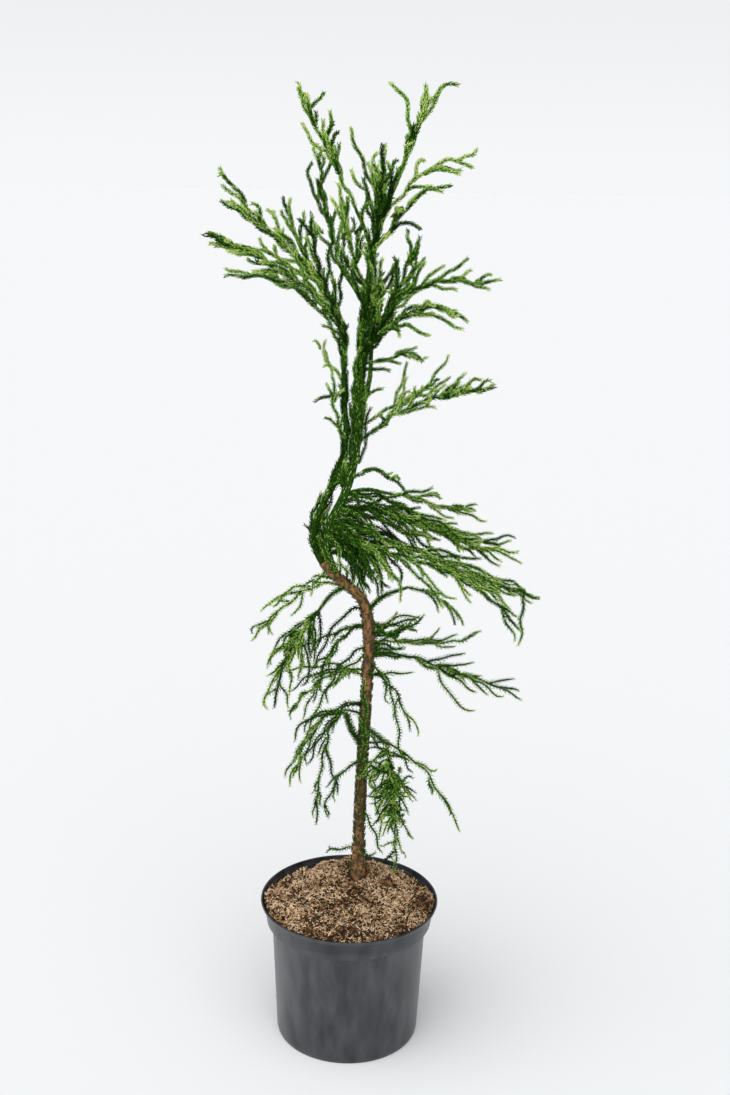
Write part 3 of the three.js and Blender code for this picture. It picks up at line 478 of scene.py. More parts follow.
class Path:
    """A line through closely spaced points, measured along its length."""

    def __init__(self, points):
        self.points = np.asarray(points, float)
        steps = np.linalg.norm(np.diff(self.points, axis=0), axis=1)
        self.marks = np.concatenate([[0.0], np.cumsum(steps)])
        self.length = self.marks[-1]

    def at(self, share):
        along = np.clip(share, 0, 1) * self.length
        return np.stack([np.interp(along, self.marks, self.points[:, k]) for k in range(3)], -1)

    def direction(self, share):
        ahead = self.at(share + SLOPE_REACH) - self.at(share - SLOPE_REACH)
        return ahead / np.linalg.norm(ahead, axis=-1, keepdims=True)

    def at_height(self, z):
        i = int(np.argmax(self.points[:, 2] >= z))
        low, high = self.points[i - 1], self.points[i]
        return low + (high - low) * (z - low[2]) / (high[2] - low[2])

    def mark_at(self, z):
        """The length of an upright path below a height."""
        return float(np.interp(z, self.points[:, 2], self.marks))

    def stretch(self, foot, top, places):
        """The part of the path between two shares of it."""
        return Path(self.at(np.linspace(foot, top, places)))


def unit(vector):
    return vector / np.linalg.norm(vector)


def square_to(ahead):
    """A direction square to another one."""
    return unit(np.cross(ahead, UP if abs(ahead[2]) < STEEP else ACROSS))


def slope_vector(heading, slope):
    """The direction with a heading and a slope above the level, in radians."""
    level = math.cos(slope)
    return np.array([level * math.cos(heading), level * math.sin(heading), math.sin(slope)])


def arc_path(start, tip, leave, end):
    """One smooth arc between two places, with its slopes above the level in radians."""
    chord = tip - start
    heading = math.atan2(chord[1], chord[0])
    handle = HANDLE_SHARE * np.linalg.norm(chord)
    first = start + slope_vector(heading, leave) * handle
    second = tip - slope_vector(heading, end) * handle
    t = np.linspace(0, 1, CURVE_STEPS + 1)[:, None]
    s = 1 - t
    return Path(s**3 * start + 3 * s * s * t * first + 3 * s * t * t * second + t**3 * tip)


def smooth_path(places):
    """A centripetal Catmull-Rom curve through the places."""
    points = [2 * places[0] - places[1], *places, 2 * places[-1] - places[-2]]
    line = []
    t = np.linspace(0, 1, CURVE_STEPS, endpoint=False)[:, None]
    for p0, p1, p2, p3 in zip(points, points[1:], points[2:], points[3:]):
        d0, d1, d2 = (np.linalg.norm(b - a) ** 0.5 for a, b in ((p0, p1), (p1, p2), (p2, p3)))
        slope1 = ((p1 - p0) / d0 - (p2 - p0) / (d0 + d1) + (p2 - p1) / d1) * d1
        slope2 = ((p2 - p1) / d1 - (p3 - p1) / (d1 + d2) + (p3 - p2) / d2) * d1
        square = -3 * p1 + 3 * p2 - 2 * slope1 - slope2
        cube = 2 * p1 - 2 * p2 + slope1 + slope2
        line.append(p1 + slope1 * t + square * t**2 + cube * t**3)
    line.append(points[-2][None, :])
    return Path(np.concatenate(line))


def limb_paths():
    """Each limb's middle line, from inside the limb that carries it."""
    paths = {}
    for name, limb in LIMBS.items():
        places = [np.array(place, float) for place in limb["through"]]
        if "limb" in limb:
            places.insert(0, paths[limb["limb"]].at_height(limb["from"]))
        paths[name] = smooth_path(places)
    return paths


def between(values, share):
    """The value at a share of the way through evenly spaced ones."""
    return np.interp(np.clip(share, 0, 1), np.linspace(0, 1, len(values)), values)


class Shoot:
    """A shoot with its path, and the balls that stand for its core in tests."""

    def __init__(self, path, girth):
        self.path = path
        self.girth = girth
        count = max(LEAST_SAMPLES, math.ceil(path.length / SAMPLE_STEP))
        shares = np.linspace(0, 1, count + 1)
        self.centres = path.at(shares)
        self.radii = CORE_SHARE * girth * (1 - (1 - TIP_SHARE) * shares)


def arc_shoot(start, tip, leave, end, girth):
    """A shoot between two places, with its slopes in degrees."""
    return Shoot(arc_path(start, np.array(tip, float), math.radians(leave), math.radians(end)), girth)


def make_stem(paths, spray):
    """A spray's stem, from a height on its limb or from the limb's tip."""
    support = paths[spray["limb"]]
    start = support.at_height(spray["from"]) if "from" in spray else support.at(1.0)
    return arc_shoot(start, spray["tip"], spray["leave"], spray["end"], spray["girth"])


def is_clear(shoot, centres, radii, reach):
    """True for a shoot above the compost that touches no ball and keeps `reach` clear past its foot."""
    if shoot.centres[:, 2].min() < SOIL["crest"] + ABOVE_SOIL:
        return False
    margins = shoot.radii + np.where(np.arange(len(shoot.radii)) > 0, reach, 0)
    gaps = np.linalg.norm(shoot.centres[:, None] - centres[None], axis=2)
    return bool(np.all(gaps > margins[:, None] + radii[None]))


def side_shoot(stem, share, roll, angle, length, lean, girth):
    """The shoot that leaves a stem at `share`, turned `roll` degrees round it."""
    ahead = stem.path.direction(share)
    level = unit(np.cross(ahead, UP))
    over = np.cross(level, ahead)
    turn = math.radians(roll)
    out = ahead * math.cos(angle) + (level * math.cos(turn) + over * math.sin(turn)) * math.sin(angle)
    leave = math.asin(max(-1.0, min(1.0, out[2])))
    heading = math.atan2(out[1], out[0])
    start = stem.path.at(share)
    tip = start + slope_vector(heading, (leave + lean) / 2) * length
    return Shoot(arc_path(start, tip, leave, lean), girth)


def grow(stem, count, longest, spread, lean, rule, random, is_free):
    """Side shoots of a stem by the seeded rule. One that isn't free is turned, then left out."""
    shoots = []
    girth = stem.girth * rule["girth_share"]
    for i in range(count):
        along, rolled, long, wide, bent = (next(random) for _ in range(5))
        span = rule["last_share"] - rule["first_share"]
        share = rule["first_share"] + span * (i + along) / count
        roll = rule["roll"] * i + rule["roll_jitter"] * (rolled - 0.5)
        shortening = rule["shortest_share"] + (1 - rule["shortest_share"]) * long
        length = longest * (1 - rule["tip_loss"] * share) * shortening
        angle = math.radians(spread * (1 + rule["spread_jitter"] * (wide - 0.5)))
        slope = math.radians(lean + rule["lean_jitter"] * (bent - 0.5))
        for attempt in range(rule["tries"]):
            shoot = side_shoot(stem, share, roll + attempt * rule["turn"], angle, length, slope, girth)
            if is_free(shoot):
                shoots.append(shoot)
                break
    return shoots


def limb_balls(paths):
    """The balls that stand for the limbs in tests."""
    centres, radii = [], []
    for name, path in paths.items():
        shares = np.linspace(0, 1, math.ceil(path.length / SAMPLE_STEP) + 1)
        centres.append(path.at(shares))
        radii.append(between(LIMBS[name]["radii"], shares))
    return np.concatenate(centres), np.concatenate(radii)


def grow_sprays(paths):
    """The part's own stems and shoots, grown again: {spray: [stem, shoot, ...]}."""
    reach = SOURCE_CLEARANCE + SOURCE_NEEDLE_REACH
    limb_centres, limb_radii = limb_balls(paths)
    sprays = {name: [make_stem(paths, spray)] for name, spray in SPRAYS.items()}
    for i, (name, spray) in enumerate(SPRAYS.items()):
        others = [s for other, shoots in sprays.items() if other != name for s in shoots]
        centres = np.concatenate([limb_centres, *(s.centres for s in others)])
        radii = np.concatenate([limb_radii, *(s.radii for s in others)])
        sprays[name] += grow(
            sprays[name][0], spray["count"], spray["longest"], spray["spread"], spray["lean"],
            SHOOT, seeded_random(i + 1), lambda shoot: is_clear(shoot, centres, radii, reach),
        )
    return sprays


# ------------------------------------------------------------------ finer shoots


def stand_clear(paths):
    """A test for finer shoots: clear of the limbs and inside the part's box."""
    limb_centres, limb_radii = limb_balls(paths)
    low = np.array(cad_low) / MM + TWIG_MARGIN
    high = np.array(cad_high) / MM - TWIG_MARGIN

    def is_free(twig):
        inside = np.all(twig.centres > low) and np.all(twig.centres < high)
        return inside and is_clear(twig, limb_centres, limb_radii, 0)

    return is_free


def add_twigs(sprays, paths):
    """Carries the rule on to whips beside each stem and to finer twigs on every shoot."""
    is_free = stand_clear(paths)
    for i, (name, spray) in enumerate(SPRAYS.items()):
        random = seeded_random(SEEDS["twigs"] * (i + 1))
        fill = {**FILL, **FILLS.get(name, {})}
        stem = sprays[name][0]
        count = round(stem.path.length / fill["whip_spacing"])
        longest = fill["whip_share"] * stem.path.length
        lean = (spray["end"] + spray["lean"]) / 2
        whip = {**WHIP, "lean_jitter": fill["sway"]}
        sprays[name] += grow(stem, count, longest, fill["whip_spread"], lean, whip, random, is_free)
        for shoot in list(sprays[name]):
            count = round(shoot.path.length / fill["twig_spacing"])
            longest = min(fill["twig_length"], TWIG_SHARE * shoot.path.length)
            spread, lean = fill["twig_spread"], spray["lean"]
            sprays[name] += grow(shoot, count, longest, spread, lean, TWIG, random, is_free)


def place_on(name, where, paths, sprays):
    """The place on a limb at a height, or on a spray's stem at a share of it."""
    return paths[name].at_height(where) if name in paths else sprays[name][0].path.at(where)


def make_sprigs(paths, sprays):
    """Single shoots between the sprays."""
    return [
        arc_shoot(place_on(name, where, paths, sprays), tip, leave, end, SPRIG_GIRTH)
        for name, where, tip, leave, end in SPRIGS
    ]


def make_bunches(paths, sprays, draw):
    """Short shoots by the dozen, where limbs would be bare."""
    shoots = []
    for name, low, high, count, bearings, reaches, rises, *slopes in BUNCHES:
        for _ in range(count):
            start = place_on(name, draw.uniform(low, high), paths, sprays)
            bearing, leave, end = (math.radians(draw.uniform(*span)) for span in (bearings, *slopes))
            aside = slope_vector(bearing, 0) * draw.uniform(*reaches)
            tip = start + aside + UP * draw.uniform(*rises)
            shoots.append(Shoot(arc_path(start, tip, leave, end), SPRIG_GIRTH))
    return shoots


def hugging_shoots(name, path, draw):
    """Shoots that run up along a limb, pressed to it at their feet."""
    hug = HUGS[name]
    marks = np.arange(path.mark_at(hug["from"]), path.mark_at(hug["to"]), hug["spacing"])
    shoots = []
    for i, mark in enumerate(marks):
        shares = np.linspace(mark, mark + draw.uniform(*hug["lengths"]), HUG["places"]) / path.length
        shares = shares[shares < 1]
        centres, _, side, over = path_frames(path, shares)
        roll = math.radians(SHOOT["roll"] * i + draw.uniform(-HUG["roll_jitter"], HUG["roll_jitter"]))
        out = side * math.cos(roll) + over * math.sin(roll)
        off = draw.uniform(*hug["stand_off"]) * np.linspace(0, 1, len(shares)) ** HUG["lift"]
        line = centres + out * (between(LIMBS[name]["radii"], shares) + off)[:, None]
        shoots.append(Shoot(Path(line), HUG["girth"]))
    return shoots


def sway(path, draw):
    """The same path wavering a little, still at its foot and free at its tip."""
    shares = np.linspace(0, 1, max(SWAY["least_places"], math.ceil(path.length / SWAY["step"])))
    centres, _, side, over = path_frames(path, shares)
    along = shares * path.length * 2 * np.pi / SWAY["wave"]
    reach = SWAY["reach"] * np.minimum(1, shares * path.length / SWAY["start"])[:, None]
    waves = []
    for _ in range(2):
        phase, pitch = draw.uniform(0, 2 * np.pi), draw.uniform(*SWAY["pitch"])
        waves.append((np.sin(along * pitch + phase) - math.sin(phase))[:, None])
    aside = draw.uniform(0, 2 * np.pi)
    bend = HOOK["reach"] * np.maximum(0, (shares - 1) / HOOK["share"] + 1) ** 2 * draw.uniform()
    hook = bend[:, None] * (side * math.cos(aside) + over * math.sin(aside))
    return Path(centres + reach * (side * waves[0] + over * waves[1]) / 2 + hook)


# ------------------------------------------------------------------ meshes


def make_mesh(name, points, triangles, smooth=True):
    """A mesh in metres from points in millimetres and triangles."""
    mesh = bpy.data.meshes.new(name)
    mesh.vertices.add(len(points))
    mesh.vertices.foreach_set("co", (np.asarray(points) * MM).astype(np.float32).ravel())
    mesh.loops.add(3 * len(triangles))
    mesh.loops.foreach_set("vertex_index", np.asarray(triangles, np.int32).ravel())
    mesh.polygons.add(len(triangles))
    mesh.polygons.foreach_set("loop_start", np.arange(0, 3 * len(triangles), 3, dtype=np.int32))
    mesh.polygons.foreach_set("loop_total", np.full(len(triangles), 3, np.int32))
    mesh.polygons.foreach_set("use_smooth", np.full(len(triangles), smooth))
    mesh.update(calc_edges=True)
    piece = bpy.data.objects.new(name, mesh)
    bpy.context.scene.collection.objects.link(piece)
    return piece


def finish_piece(piece, material, slot, nodes=()):
    """Gives a piece its material, and hides the nodes that it stands in for. `slot` is not used."""
    piece.data.materials.append(material)
    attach(piece, "root")
    if nodes:
        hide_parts(*nodes)


def path_frames(path, shares):
    """Centres, directions and two square directions that don't twist, along a path."""
    centres = path.at(shares)
    aheads = path.direction(shares)
    sides = np.empty_like(aheads)
    side = square_to(aheads[0])
    for i, ahead in enumerate(aheads):
        side = unit(side - ahead * side.dot(ahead))
        sides[i] = side
    return centres, aheads, sides, np.cross(aheads, sides)


def ring_triangles(rings, sides):
    """Triangles of a closed tube whose last two vertices are the middles of its ends."""
    i = np.arange(rings - 1)[:, None] * sides
    j = np.arange(sides)[None]
    k = (j + 1) % sides
    a, b, c, d = i + j, i + k, i + sides + k, i + sides + j
    walls = np.concatenate([np.stack([a, b, c], -1), np.stack([a, c, d], -1)]).reshape(-1, 3)
    last = (rings - 1) * sides
    j, k = j[0], k[0]
    foot = np.stack([np.full(sides, rings * sides), k, j], -1)
    tip = np.stack([np.full(sides, rings * sides + 1), last + j, last + k], -1)
    return np.concatenate([walls, foot, tip])


def tube(path, radius_at, sides, step, relief=None):
    """A closed tube along a path. `relief` moves its surface in or out."""
    rings = max(LEAST_COUNT, round(path.length / step) + 1)
    shares = np.linspace(0, 1, rings)
    centres, _, side, over = path_frames(path, shares)
    angles = 2 * np.pi * np.arange(sides) / sides
    out = side[:, None] * np.cos(angles)[None, :, None] + over[:, None] * np.sin(angles)[None, :, None]
    radii = np.repeat(radius_at(shares)[:, None], sides, 1)
    if relief is not None:
        radii = radii + relief(shares, angles, radii)
    points = centres[:, None] + out * radii[..., None]
    ends = np.stack([centres[0], centres[-1]])
    return np.concatenate([points.reshape(-1, 3), ends]), ring_triangles(rings, sides)


def join(parts):
    """One list of points and one of triangles from several."""
    points, triangles, base = [], [], 0
    for part_points, part_triangles in parts:
        points.append(part_points)
        triangles.append(part_triangles + base)
        base += len(part_points)
    return np.concatenate(points), np.concatenate(triangles)


def lay_out(shapes, triangles):
    """Points and triangles of many shapes (shape, corner, xyz) that share one list of triangles."""
    base = shapes.shape[1] * np.arange(len(shapes))[:, None, None]
    return shapes.reshape(-1, 3), (triangles[None] + base).reshape(-1, 3)


# ------------------------------------------------------------------ needles


def needle_points(centres, aheads, outs, acrosses, lengths, widths, opens, closes, roots):
    """Nine points for each needle: it leaves its shoot at `opens` and bends in to `closes`."""
    first = aheads * np.cos(opens)[:, None] + outs * np.sin(opens)[:, None]
    last = aheads * np.cos(closes)[:, None] + outs * np.sin(closes)[:, None]
    root = centres + outs * roots[:, None]
    bend = root + first * (lengths * NEEDLE_BEND["share"])[:, None]
    tip = bend + last * (lengths * (1 - NEEDLE_BEND["share"]))[:, None]
    corners = []
    sections = (root, opens, widths), (bend, (opens + closes) / 2, widths * NEEDLE_BEND["width"])
    for place, angle, width in sections:
        thick = outs * np.cos(angle)[:, None] - aheads * np.sin(angle)[:, None]
        wide = acrosses * (width / 2)[:, None]
        deep = thick * (width / 2 * NEEDLE_DEPTH)[:, None]
        corners += [place + wide, place + deep, place - wide, place - deep]
    return np.stack([*corners, tip], 1)


def clothe(path, radius_at, kind, draw, root_share):
    """Needles that spiral up a path: their points, distances from the tip, and upward sides."""
    count = max(LEAST_COUNT, int(path.length / kind["spacing"]))
    shares = (np.arange(count) + 0.5) / count
    centres, aheads, side, over = path_frames(path, shares)
    roll, close = NEEDLE_JITTER["roll"], NEEDLE_JITTER["close"]
    angles = np.radians(NEEDLE_ROLL) * np.arange(count) + draw.uniform(-roll, roll, count)
    cos, sin = np.cos(angles)[:, None], np.sin(angles)[:, None]
    outs = side * cos + over * sin
    acrosses = over * cos - side * sin
    to_tip = (1 - shares) * path.length
    shut = 1 - kind["shut"] * np.clip(1 - to_tip / TIP_LENGTH, 0, 1)
    size = 1 - (1 - kind["fine"]) * np.clip(1 - to_tip / FINE_LENGTH, 0, 1)
    lengths = kind["length"] * draw.uniform(*NEEDLE_JITTER["length"], count) * size
    widths = kind["width"] * draw.uniform(*NEEDLE_JITTER["width"], count) * np.sqrt(size)
    opens = np.radians(kind["open"] * shut * draw.uniform(*NEEDLE_JITTER["open"], count))
    closes = np.radians(kind["close"] * shut + draw.uniform(-close, close, count))
    roots = radius_at(shares) * root_share
    points = needle_points(centres, aheads, outs, acrosses, lengths, widths, opens, closes, roots)
    return points, to_tip, outs[:, 2]


def mix(first, second, share):
    """A kind of needles between two others."""
    return {key: first[key] + (second[key] - first[key]) * share for key in first}


def needle_kind(height):
    """Brushes on the low shoots, ropes above them, and stout cords at the top."""
    if height < ROPE_AT:
        share = (height - BRUSH_BELOW) / (ROPE_AT - BRUSH_BELOW)
        return mix(KINDS["brush"], KINDS["rope"], max(0.0, share))
    share = (height - ROPE_AT) / (CORD_AT - ROPE_AT)
    return mix(KINDS["rope"], KINDS["cord"], min(1.0, share))


def shoot_level(shoot, extra, draw):
    """Shoots are darker inside the crown, as painted shade, and lighter near its top, as painted light from
    above.
    """
    x, y, z = shoot.path.at(LEVEL_AT)
    out = min(1.0, max(math.hypot(x, y) / OUTER_REACH, (z - CROWN_TOP) / OUTER_REACH + 1))
    middle = SHADED_INNER_LEVEL + (LIT_OUTER_LEVEL - SHADED_INNER_LEVEL) * out + extra
    return float(np.clip(draw.normal(middle, LEVEL_SPREAD), 0, TOP_LEVEL))


def deal_needles(points, levels, upward, draw, needles):
    """Gives each needle the shade nearest to its level and a little chance, with painted light on its upper
    side and painted shade on its lower side.
    """
    levels = levels + TOP_SIDE_PAINTED_LIGHT * upward + draw.normal(0, NEEDLE_SPREAD, len(points))
    nearest = np.clip(np.round(levels), 0, len(SHADES) - 1)
    for i, shade in enumerate(SHADES):
        needles[shade].append(points[nearest == i])


def needle_pieces(needles, materials):
    """Joins each shade's needles into pieces, and returns the first piece of each shade."""
    low = np.array(cad_low) / MM
    high = np.array(cad_high) / MM
    first = {}
    for shade, batches in needles.items():
        points = np.concatenate(batches)
        points = points[np.all((points > low) & (points < high), axis=(1, 2))]
        pieces = math.ceil(len(points) * len(NEEDLE_TRIANGLES) / PIECE_TRIANGLES)
        for number, part in enumerate(np.array_split(points, pieces), 1):
            piece = make_mesh(f"{shade}_{number}", *lay_out(part, NEEDLE_TRIANGLES))
            finish_piece(piece, materials[shade], shade)
            first.setdefault(shade, piece)
    return first


def limb_radius(name, foot, top, fill):
    """The radius along a limb between two shares of it, times `fill`."""
    return lambda share: between(LIMBS[name]["radii"], foot + (top - foot) * share) * fill


def limb_sort(name):
    """The sort of a limb: trunk, leader or bough."""
    return name.split("_")[0]


def clothe_limb(name, path, draw, cores, needles):
    """Gives a limb its needles, and a green core where it shows no bark."""
    start = 0.0
    if name == "trunk":
        start = path.mark_at(BARE_TRUNK) / path.length
        path = path.stretch(start, 1, GREEN_TRUNK_PLACES)
    radius_at = limb_radius(name, start, 1, LIMB_FILL[limb_sort(name)])
    if name not in BARK_BOUGHS:
        cores.append(tube(path, radius_at, **LIMB_CORE))
    kind, root_share = LIMB_NEEDLES[name]
    points, _, upward = clothe(path, radius_at, KINDS[kind], draw, root_share)
    deal_needles(points, LIMB_LEVELS[limb_sort(name)], upward, draw, needles)


def clothe_shoot(shoot, extra, draw, shade_draw, cores, needles):
    """Gives a shoot its needles and a green core that comes to a point among the last ones."""
    level = shoot_level(shoot, extra, shade_draw)
    young_level = YOUNG_LEVEL * (shade_draw.uniform() < PALE_TIPS)
    path = sway(shoot.path, draw)

    def radius_at(share):
        return CORE_SHARE * shoot.girth * (1 - (1 - TIP_KEEP) * share)

    def core_at(share):
        to_tip = (1 - share) * path.length
        return radius_at(share) * CORE["fill"] * np.clip(to_tip / CORE["point"], CORE["blunt"], 1)

    kind = needle_kind(shoot.centres[0, 2])
    points, to_tip, upward = clothe(path, radius_at, kind, draw, SHOOT_ROOT)
    levels = level + young_level * np.clip(YOUNG_FADE - to_tip / TIP_LENGTH, 0, 1)
    deal_needles(points, levels, upward, shade_draw, needles)
    cores.append(tube(path, core_at, CORE["sides"], CORE["step"]))


# ------------------------------------------------------------------ bark


def bark_relief(path):
    """Upright flakes with cracks between them, and a ridged knob."""

    def relief(shares, angles, radii):
        heights = path.at(shares)[:, 2]
        moves = np.empty_like(radii)
        for i, z in enumerate(heights):
            for j, angle in enumerate(angles):
                around = radii[i, j] / FLAKE["width"]
                spot = Vector((math.cos(angle) * around, math.sin(angle) * around, z / FLAKE["height"]))
                crack = min(abs(noise.noise(spot)) * FLAKE["crack"], FLAKE["crack_end"])
                flake = FLAKE["rough"] * noise.noise(spot * FLAKE["fine"])
                moves[i, j] = BARK["depth"] * (crack - FLAKE["level"] + flake)
            near = max(0.0, 1 - abs(z - KNOB["height"]) / KNOB["half"])
            ridge = KNOB["ridge_depth"] * math.sin(2 * math.pi * z / KNOB["ridges"])
            moves[i] += near * (KNOB["swell"] + ridge)
        return moves

    return relief


def bark_piece(limb, path):
    """A bough's bark, or the trunk's as far up as it is bare."""
    foot, top = 0.0, 1.0
    if limb == "trunk":
        foot, top = path.mark_at(BARK["foot"]) / path.length, path.mark_at(BARE_TRUNK) / path.length
    stretch = path.stretch(foot, top, BARK["places"])
    radius_at = limb_radius(limb, foot, top, BARK_FILL[limb_sort(limb)])
    shape = tube(stretch, radius_at, BARK["sides"], BARK["step"], bark_relief(stretch))
    return make_mesh(f"{limb}_bark", *shape)


def trunk_scales(path, draw):
    """Old needle bases pressed to the brown trunk, thinning out upwards."""
    foot, top = path.mark_at(SCALES["from"]) / path.length, path.mark_at(SCALES["to"]) / path.length
    stretch = path.stretch(foot, top, SCALES["places"])
    radius_at = limb_radius("trunk", foot, top, BARK_FILL["trunk"])
    points, _, _ = clothe(stretch, radius_at, KINDS["scale"], draw, SCALES["root"])
    kept = np.interp(points[:, 0, 2], SCALES["heights"], SCALES["kept"])
    return lay_out(points[draw.uniform(size=len(points)) < kept], NEEDLE_TRIANGLES)


# ------------------------------------------------------------------ pot and compost


def pot_profile():
    """Radius and height round the pot's wall, from the middle of its underside."""
    height, wall, lip = POT["height"], POT["wall"], POT["lip"]
    rim, band_foot, shoulder = POT["rim_radius"], POT["band_foot"], POT["shoulder"]
    foot, foot_height, base = POT["foot_radius"], POT["foot_height"], POT["base_radius"]
    band_bottom = height - POT["band_height"]
    rounding = [
        (rim - lip + lip * math.cos(a), height - lip + lip * math.sin(a))
        for a in np.linspace(0, math.pi, LIP_POINTS)
    ]
    slope = (shoulder - foot) / (band_bottom - foot_height)
    base_in, base_up = EDGES["base"]
    foot_in, foot_down = EDGES["foot"]
    shoulder_in, shoulder_down = EDGES["shoulder"]
    band_in, band_low, band_up = EDGES["band"]
    bead_in, bead_down = EDGES["bead"]
    top_in, top_down = EDGES["bead_top"]
    run = EDGES["foot_run"]
    outside = [
        (0, EDGES["recess"]), (EDGES["recess_radius"], EDGES["recess"]), (EDGES["ring_radius"], 0),
        (base - base_in, 0), (base, base_up),
        (foot - foot_in, foot_height - foot_down), (foot, foot_height),
        (foot + slope * run, foot_height + run),
        (shoulder - shoulder_in, band_bottom - shoulder_down), (shoulder, band_bottom),
        (band_foot - band_in, band_bottom + band_low), (band_foot, band_bottom + band_up),
        (rim - bead_in, height - bead_down), (rim - top_in, height - top_down),
    ]
    inside = [
        (band_foot - wall, band_bottom + POT["ledge"][1]), (shoulder - wall, band_bottom + POT["ledge"][0]),
        (foot - wall, foot_height), (base - wall, POT["floor"]), (0, POT["floor"]),
    ]
    return [*outside, *rounding, *inside]


def lathe(profile, sides):
    """A round shell from a profile that starts and ends on the axis."""
    body = np.array(profile[1:-1], float)
    angles = 2 * np.pi * np.arange(sides) / sides
    rings = np.stack([
        body[:, :1] * np.cos(angles), body[:, :1] * np.sin(angles), np.repeat(body[:, 1:], sides, 1),
    ], -1)
    ends = np.array([[0, 0, profile[0][1]], [0, 0, profile[-1][1]]], float)
    return np.concatenate([rings.reshape(-1, 3), ends]), ring_triangles(len(body), sides)


def inner_radius(z):
    """The radius inside the pot's wall at a height."""
    band_bottom = POT["height"] - POT["band_height"]
    low, high = POT["ledge"]
    heights = [POT["floor"], POT["foot_height"], band_bottom + low, band_bottom + high, POT["height"]]
    radii = [POT["base_radius"], POT["foot_radius"], POT["shoulder"], POT["band_foot"], POT["rim_radius"]]
    return np.interp(z, heights, radii) - POT["wall"]


def mound(turn, inward):
    """The compost's surface: `inward` is 0 at the wall and 1 at the trunk's foot."""
    x, y = np.sin(turn), -np.cos(turn)
    sunk = np.minimum(1, np.maximum(0, SOIL["sag"] * y) * np.sqrt(np.abs(x)))
    edge = SOIL["front_edge"] + (SOIL["back_edge"] - SOIL["front_edge"]) * sunk
    wall = inner_radius(edge) - SOIL["wall_gap"]
    foot = LIMBS["trunk"]["through"][0]
    width = np.hypot(wall * x - foot[0], wall * y - foot[1])
    from_crest = np.maximum(0, width * (1 - inward) - SOIL["flat_radius"])
    rise = (1 - from_crest / (width - SOIL["flat_radius"])) ** SOIL["slump"]
    return np.stack([
        wall * x + (foot[0] - wall * x) * inward,
        wall * y + (foot[1] - wall * y) * inward,
        edge + (SOIL["crest"] + HEAP_EXTRA - edge) * rise,
    ], -1)


def lump(place):
    """How far a lump moves the surface, less beside the wall."""
    spot = Vector(place) / LUMP["size"]
    inside = min(1.0, (inner_radius(place[2]) - math.hypot(place[0], place[1])) / LUMP["size"])
    rise = noise.noise(spot) + LUMP["fine_share"] * noise.noise(spot * LUMP["finer"])
    return LUMP["depth"] * rise * (LUMP["at_wall"] + (1 - LUMP["at_wall"]) * inside) - LUMP["drop"]


def make_compost():
    """The lumpy mound, closed by a skirt inside the pot."""
    sides = MOUND["sides"]
    turns = 2 * np.pi * np.arange(sides) / sides
    rings = []
    for inward in np.linspace(0, MOUND["inmost"], MOUND["rings"]):
        ring = mound(turns, np.full(sides, inward))
        ring[:, 2] += [lump(place) for place in ring]
        rings.append(ring)
    skirt = rings[0].copy()
    skirt[:, 2] -= SKIRT["depth"]
    skirt[:, :2] *= SKIRT["share"]
    rings.insert(0, skirt)
    middle = mound(np.zeros(1), np.ones(1))[0]
    ends = np.array([[0, 0, skirt[0, 2]], middle])
    return np.concatenate([*rings, ends]), ring_triangles(len(rings), sides)


def make_chips(draw, count, long, wide, lift, patch):
    """Flakes and fibres that lie about on the mound: short three-sided sticks."""
    turns = draw.uniform(0, 2 * np.pi, count)
    places = mound(turns, 1 - np.sqrt(draw.uniform(CHIP["bare_crest"], 1, count)))
    patches = np.array([noise.noise(Vector(place) / PATCH) for place in places])
    strayed = patches + draw.normal(0, CHIP["patch_jitter"], count)
    places = places[patch * strayed > CHIP["patch_edge"]]
    count = len(places)
    places[:, 2] += np.array([lump(place) for place in places]) + draw.uniform(-CHIP["sink"], lift, count)
    heading = draw.uniform(0, 2 * np.pi, count)
    tilt = draw.normal(0, CHIP["tilt"], count)
    spin = draw.normal(0, CHIP["spin"], count)
    along = np.stack([np.cos(heading) * np.cos(tilt), np.sin(heading) * np.cos(tilt), np.sin(tilt)], -1)
    level = np.stack([-np.sin(heading), np.cos(heading), np.zeros(count)], -1)
    across = level * np.cos(spin)[:, None] + np.cross(along, level) * np.sin(spin)[:, None]
    normal = np.cross(along, across)
    half_long = draw.uniform(*long, count)[:, None] / 2
    half_wide = draw.uniform(*wide, count)[:, None] / 2
    stray = draw.uniform(-CHIP["stray"], CHIP["stray"], count)[:, None] * half_long
    thick = half_wide * CHIP["thickness"]
    corners = []
    for end in (-half_long, half_long):
        middle = places + along * end + normal * (stray - thick / 2)
        corners += [middle + across * half_wide * x + normal * thick * y for x, y in CHIP_SECTION]
    points = np.stack(corners, 1)
    reach = np.hypot(points[..., 0], points[..., 1]).max(1)
    points = points[reach < inner_radius(points[..., 2].min(1)) - SOIL["wall_gap"]]
    return lay_out(points, CHIP_TRIANGLES)


# ------------------------------------------------------------------ materials


def plain_material(name, colour, roughness, specular):
    material = bpy.data.materials.new(name)
    material.use_nodes = True
    shader = material.node_tree.nodes["Principled BSDF"]
    shader.inputs["Base Color"].default_value = (*colour, 1)
    shader.inputs["Roughness"].default_value = roughness
    shader.inputs["Specular IOR Level"].default_value = specular
    return material


